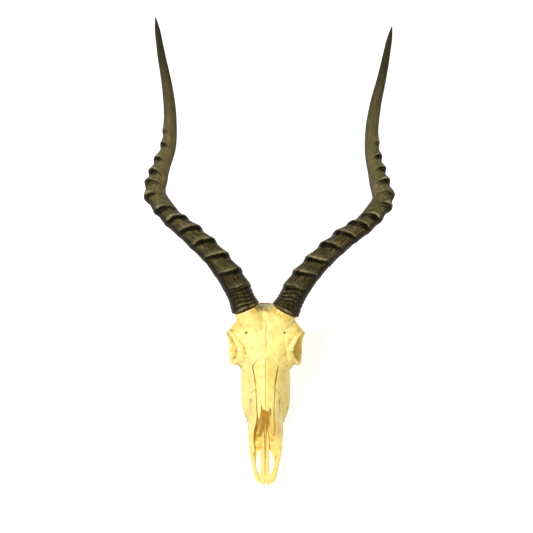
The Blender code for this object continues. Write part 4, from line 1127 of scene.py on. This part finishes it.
def premaxilla(name, side):
    flip = np.array((side, 1, 1))
    # The plate's thin back edge laps onto the palate.
    plate = []
    for y in np.linspace(0.6, PLATE_END, 42):
        wide, near = np.interp(y, *zip(*PREMAX_OUTLINE)) - 1.2, np.interp(y, *NOTCH)
        middle, half = np.interp(y, *zip(*PLATE_MIDDLE)), np.interp(y, *zip(*PLATE_HALF))
        corners = ((near, -1), (wide, -0.8), (wide + 0.8, 0), (wide, 0.8), (near, 1))
        plate.append(np.array([(side * x, y, middle + half * level) for x, level in corners]) * MM)
    # A narrow floor closes the opening between the wall's foot and the palate.
    floor = []
    for y in np.linspace(61.5, 84, 12):
        inner, outer = palate_top(y) + 0.5, np.interp(y, *zip(*FLOOR_OUTER))
        corners = ((12.2, inner), (20.6, outer), (20.6, outer + 1.4), (12.2, inner + 1.1))
        floor.append(np.array([(x, y, z) for x, z in corners]) * flip * MM)
    body = joined(name, [extrude_through("plate", plate), extrude_through("floor", floor),
                         rod("rim", np.array(RIM) * flip, RIM_RADII),
                         rod("bar", np.array(BAR) * flip, BAR_RADII), nose_wall("wall", flip)])
    fuse(body, 0.6 * MM, 2)
    round_it = np.linspace(0, len(SLOT) - 1, 60, endpoint=False)
    outline = spline(np.arange(len(SLOT)), np.array(SLOT, float), round_it)
    outline[:, 0] += SLOT_SHIFT[side]
    ends = [np.array([(side * x, y, z) for x, y in outline]) * MM for z in (2, 30)]
    cut(body, extrude_through("slot", ends))
    fuse(body, 0.5 * MM, 2)
    add_wear(body, 0.3 * MM, 0.16 * MM)
    points, normals = points_of(body), normals_of(body)
    shade_from = PAINTED_SHADE_FROM[side] * MM
    from_midline = np.abs(points[:, 0])
    # Painted shade: gold and a little painted glow on the plate where its wall shades it, gold on the wall's
    # inner face.
    deep = smoothstep(shade_from, shade_from + 9 * MM, points[:, 1]) * (from_midline < 14.5 * MM)
    deep *= smoothstep(19 * MM, 17.5 * MM, points[:, 2])
    deep *= from_midline > 5.0 * MM
    within = smoothstep(0.1, 0.5, -side * normals[:, 0]) * smoothstep(46 * MM, 60 * MM, points[:, 1])
    keep(body, "painted_glow", 0.35 * deep)
    keep(body, "fat_and_painted_shade", np.clip(np.maximum(deep, 0.6 * within), 0, 1))
    return body


finish_piece(premaxilla("muzzle_bone_left", 1), "premaxilla_left", bone_finish)
finish_piece(premaxilla("muzzle_bone_right", -1), "premaxilla_right", bone_finish)

# %% [markdown]
# ## Inside the nose
#
# Paper-thin scrolls of bone hang from the outer walls of the passage, and a thin blade, the vomer, stands
# on its floor. They are a deeper gold, partly from the fat that they keep and partly as painted shade, for
# they are out of the light, and they carry a painted glow. A scroll is a curled strip that is extruded into
# the nose, and its wall is thinner than the CAD solid's.

# %% Curl the scrolls and stand up the blade
TURBINATE_OUTER = ((63, 12.6), (84, 13.6), (98, 14.4), (113, 19.6), (128, 18.8))
SCROLL = ((66, 2.6, 1.9), (71, 4.5, 3.0), (80, 7.5, 4.4), (92, 11.5, 5.2), (106, 12, 5.4), (118, 10, 4.8),
          (125, 6, 3.4))  # y, then half its height and half its width
BLADE = ((62, 2, 0.4), (72, 5, 0.7), (84, 9, 0.8), (98, 14, 0.9), (112, 18, 1.0),
         (124, 20, 1.0))  # y, then its height and half its thickness


def keep_depth(piece):
    """The deeper in the nose, the more gold, partly fat and partly painted shade, and the more painted glow.
    """
    depth = smoothstep(66 * MM, 112 * MM, points_of(piece)[:, 1])
    keep(piece, "fat_and_painted_shade", 0.15 + 0.6 * depth)
    keep(piece, "painted_glow", 0.25 + 0.75 * depth)


def scroll(name, side):
    rings = []
    stations = np.array(SCROLL, float)
    for y, height, wide in spline(stations[:, 0], stations, np.linspace(66, 125, 60)):
        wall = np.interp(y, *zip(*TURBINATE_OUTER))
        turn = np.linspace(0, 1, 40)
        # A little more than one turn of a curl, drawn in towards its middle, with a ripple along the nose.
        angle = np.radians(-138 + 420 * turn) + 0.12 * np.sin(y / 3.0)
        shrink = 1 - 0.62 * smoothstep(0.55, 1.0, turn)
        skin = np.stack([wide * shrink * np.cos(angle), height * shrink * np.sin(angle)], axis=1)
        lining = skin * (1 - 0.55 / (np.linalg.norm(skin, axis=1) + 0.2))[:, None]
        middle = 20 + 0.13 * (y - 66) + 1.25 * height
        rings.append(np.array([(side * (wall - wide - 0.5 + x), y, middle + z)
                               for x, z in [*skin, *lining[::-1]]]) * MM)
    piece = extrude_through(name, rings)
    add_wear(piece, 0.3 * MM, 0.1 * MM)
    keep_depth(piece)
    return piece


def blade(name):
    rings = []
    stations = np.array(BLADE, float)
    for y, height, half in spline(stations[:, 0], stations, np.linspace(62, 124, 50)):
        floor = palate_top(y) if y < 80 else np.interp(y, *zip(*((row[0], row[1][1]) for row in PASSAGE)))
        floor += SEAM + 0.5
        outline = [(half, 0.0), (half * 0.8, 0.4), (half * 0.55, 0.8), (half * 0.6, 0.94), (0.2, 1),
                   (-0.2, 1), (-half * 0.6, 0.94), (-half * 0.55, 0.8), (-half * 0.8, 0.4), (-half, 0)]
        rings.append(np.array([(x, y, floor + height * z) for x, z in outline]) * MM)
    piece = extrude_through(name, rings)
    add_wear(piece, 0.3 * MM, 0.1 * MM)
    keep_depth(piece)
    return piece


finish_piece(scroll("nose_scroll_left", 1), "turbinate_left", inner_finish)
finish_piece(scroll("nose_scroll_right", -1), "turbinate_right", inner_finish)
finish_piece(blade("nose_blade"), "vomer", inner_finish)

# %% [markdown]
# ## Tooth finish
#
# Enamel is paler and glossier than bone. Where cheek teeth meet the jaw and in the folds between their
# ribs, tartar and cement stain them brown to nearly black, and the worn face shows brown dentine inside its
# enamel rims.

# %% Make the tooth finish
tooth_finish, tree, shader = new_finish("stained_enamel")
place = add(tree, "TexCoord").outputs["Object"]
height = add(tree, "SeparateXYZ", {"Vector": place}).outputs["Z"]
cavity = attribute(tree, "cavity")
mottle = noise_at(tree, place, 260.0, 4.0, 0.6)
stretched = add(tree, "Mapping", {"Vector": place, "Scale": (1.0, 1.0, 0.12)}).outputs["Vector"]
upright = noise_at(tree, stretched, 700.0, 3.0)
tone = ramp(tree, mottle, ((0.3, colour(238, 222, 168)), (0.55, colour(214, 188, 124)),
                           (0.75, colour(168, 132, 74))))
tone = blend(tree, span(tree, upright, 0.5, 0.7, 0.0, 0.45), tone, colour(150, 116, 62))
gum_edge = plus(tree, height, times(tree, mottle, 6 * MM))
tone = blend(tree, span(tree, gum_edge, 10 * MM, 16.5 * MM, 0.0, 0.85), tone, colour(74, 56, 32))
tone = blend(tree, span(tree, cavity, 0.54, 0.85, 0.0, 0.9), tone, colour(58, 42, 24))
tree.links.new(tone, shader.inputs["Base Color"])
tree.links.new(span(tree, mottle, 0.3, 0.7, 0.22, 0.45), shader.inputs["Roughness"])
tree.links.new(bump(tree, upright, 0.3, 0.2 * MM), shader.inputs["Normal"])
print("tooth finish:", len(tree.nodes), "nodes")

# %% [markdown]
# ## The cheek teeth
#
# An antelope's upper cheek teeth are tall columns: ribbed on the cheek side, lobed on the tongue side, and
# worn flat below, where each lobe shows two narrow pits. One outline is drawn for a premolar with one lobe
# and one for a molar with two. The worn face is inset and sunk a little inside its enamel rim, and the pits
# are cut.

# %% Raise twelve teeth
# Each tooth's length along the row and width across it.
TEETH = (("premolar_2", 8.6, 7.0), ("premolar_3", 9.6, 9.0), ("premolar_4", 10.0, 10.5),
         ("molar_1", 12.6, 12.5), ("molar_2", 14.6, 13.5), ("molar_3", 15.4, 13.0))
TOOTH_ROW_FRONT = 98
# Heights in a tooth from its gum to its worn face, and its size there as a share of its outline.
CROWN = ((GUM_LINE - SEAM, 0.93), (13, 0.96), (10, 0.99), (7, 1.0), (4, 0.99), (1.5, 0.98), (0.4, 0.965),
         (0, 0.93))
TOOTH_VOXEL = 0.42 * MM


def tooth_outline(half, width, lobes):
    """A smooth closed outline, x to the cheek and y along the row, in mm."""
    if lobes == 1:
        corners = [(-0.2, -half), (-0.1, -half * 0.8), (-0.9, -half / 2), (0, 0), (-0.9, half / 2),
                   (-0.1, half * 0.8), (-0.2, half), (-width * 0.55, half * 0.95),
                   (-width * 0.97, half * 0.4), (-width * 0.97, -half * 0.4), (-width * 0.55, -half * 0.95)]
    else:
        corners = [(-0.2, -half), (-0.1, -half * 0.85), (-0.9, -half * 0.55), (-0.3, -half * 0.42),
                   (-1.0, -half * 0.25), (0, 0), (-1.0, half * 0.3), (-0.3, half * 0.5), (-0.9, half * 0.65),
                   (-0.1, half * 0.9), (-0.3, half), (-width * 0.75, half * 0.95),
                   (-width * 0.98, half * 0.5), (-width * 0.68, 0.02), (-width * 0.98, -half * 0.5),
                   (-width * 0.75, -half * 0.95)]
    loop = np.array(corners * 3)
    count = len(corners)
    return spline(np.arange(3 * count), loop, np.linspace(count, 2 * count, 4 * count, endpoint=False))


def cheek_tooth(name, side, front, length, width):
    middle = front + length / 2
    outer = np.interp(middle, *zip(*ROW_OUTER)) - 0.2
    half = length / 2 - SEAM / 2
    lobes = 1 if name.startswith("pre") else 2
    shape = tooth_outline(half, width, lobes)
    rings = []
    for z, size in CROWN:
        rings.append(np.array([(side * (outer + (x + width / 2) * size - width / 2), middle + y * size, z)
                               for x, y in shape]) * MM)
    piece = extrude_through(name, rings)
    bpy.ops.object.mode_set(mode="EDIT")
    bpy.ops.mesh.select_mode(type="FACE")
    bpy.ops.mesh.select_all(action="DESELECT")
    work = bmesh.from_edit_mesh(piece.data)
    for face in work.faces:
        face.select_set(len(face.verts) == len(shape) and face.calc_center_median().z < MM)
    bmesh.update_edit_mesh(piece.data)
    bpy.ops.mesh.inset(thickness=0.7 * MM, depth=0)
    bpy.ops.mesh.inset(thickness=0.4 * MM, depth=-0.5 * MM)
    bpy.ops.object.mode_set(mode="OBJECT")
    fuse(piece, TOOTH_VOXEL, 1)
    for lobe in ((0,) if lobes == 1 else (-half * 0.5, half * 0.5)):
        for across, tilt in ((-width * 0.33, 12), (-width * 0.66, -12)):
            centre = (side * (outer + across), middle + lobe, 0.2)
            cut(piece, blob("pit", centre, (0.75, 0.28 * length / lobes, 2.2), (0, 0, side * tilt)))
    fuse(piece, TOOTH_VOXEL, 1)
    add_wear(piece, 0.3 * MM, 0.08 * MM)
    return piece


for word, side in (("left", 1), ("right", -1)):
    front = TOOTH_ROW_FRONT
    for label, length, width in TEETH:
        tooth = cheek_tooth(f"{label}_crown_{word}", side, front, length, width)
        finish_piece(tooth, f"{label}_{word}", tooth_finish)
        front += length

# %% [markdown]
# ## Floor, light and camera
#
# The skull stands on a plain light table, whose top gives off some light of its own and so stays white. A
# large soft lamp hangs up and to the left, a weak warm one fills the right side, and the room adds even
# light all round. The camera looks down square onto the face from far away, so that the muzzle and the
# horns' tips keep their true proportions.

# %% Set the stage
TABLE_SIZE, TABLE_GLOW, ROOM_LIGHT = 12, 0.78, 0.2

bpy.ops.mesh.primitive_plane_add(size=TABLE_SIZE, location=(0, 0, 0))
table = bpy.context.object
table.name = "table_top"
table_finish, tree, shader = new_finish("white_table")
shader.inputs["Base Color"].default_value = (0.45, 0.45, 0.45, 1)
shader.inputs["Roughness"].default_value = 1.0
shader.inputs["Specular IOR Level"].default_value = 0.0
shader.inputs["Emission Color"].default_value = (1, 1, 1, 1)
shader.inputs["Emission Strength"].default_value = TABLE_GLOW
table.data.materials.append(table_finish)

world = bpy.data.worlds.new("white_room")
bpy.context.scene.world = world
world.use_nodes = True
world.node_tree.nodes["Background"].inputs["Color"].default_value = (1, 1, 1, 1)
world.node_tree.nodes["Background"].inputs["Strength"].default_value = ROOM_LIGHT


def lamp(name, place, aim, size, power, tint=(1, 1, 1)):
    data = bpy.data.lights.new(name, "AREA")
    data.size, data.energy, data.color = size, power, tint
    made = bpy.data.objects.new(name, data)
    bpy.context.scene.collection.objects.link(made)
    made.location = place
    made.rotation_euler = (Vector(aim) - Vector(place)).to_track_quat("-Z", "Y").to_euler()
    return made


SKULL_MIDDLE = (0, 0, 0.12)
lamp("big_soft_lamp", (-0.88, -0.62, 2.1), SKULL_MIDDLE, 0.7, 56)
lamp("warm_fill_lamp", (1.3, -1.0, 1.4), SKULL_MIDDLE, 0.9, 14, (1, 0.84, 0.56))

# %% Aim the camera
LENS, VIEW_SPAN = 150, 0.6663  # mm, and metres across the view at the skull
aim = Vector(face_plane(1.25 * MM, 54.4 * MM, 0)) + SHIFT  # the middle of the whole, as seen from the front
camera_data = bpy.data.cameras.new("camera")
camera_data.lens = LENS
camera = bpy.data.objects.new("camera", camera_data)
bpy.context.scene.collection.objects.link(camera)
camera.location = aim + Vector(OUT_OF_FACE) * (VIEW_SPAN * LENS / camera_data.sensor_width)
camera.rotation_euler = (pi / 2 - FACE_TILT, 0, 0)
bpy.context.scene.camera = camera
bpy.context.scene.view_settings.view_transform = "Standard"
print("camera at", [round(c, 3) for c in camera.location])
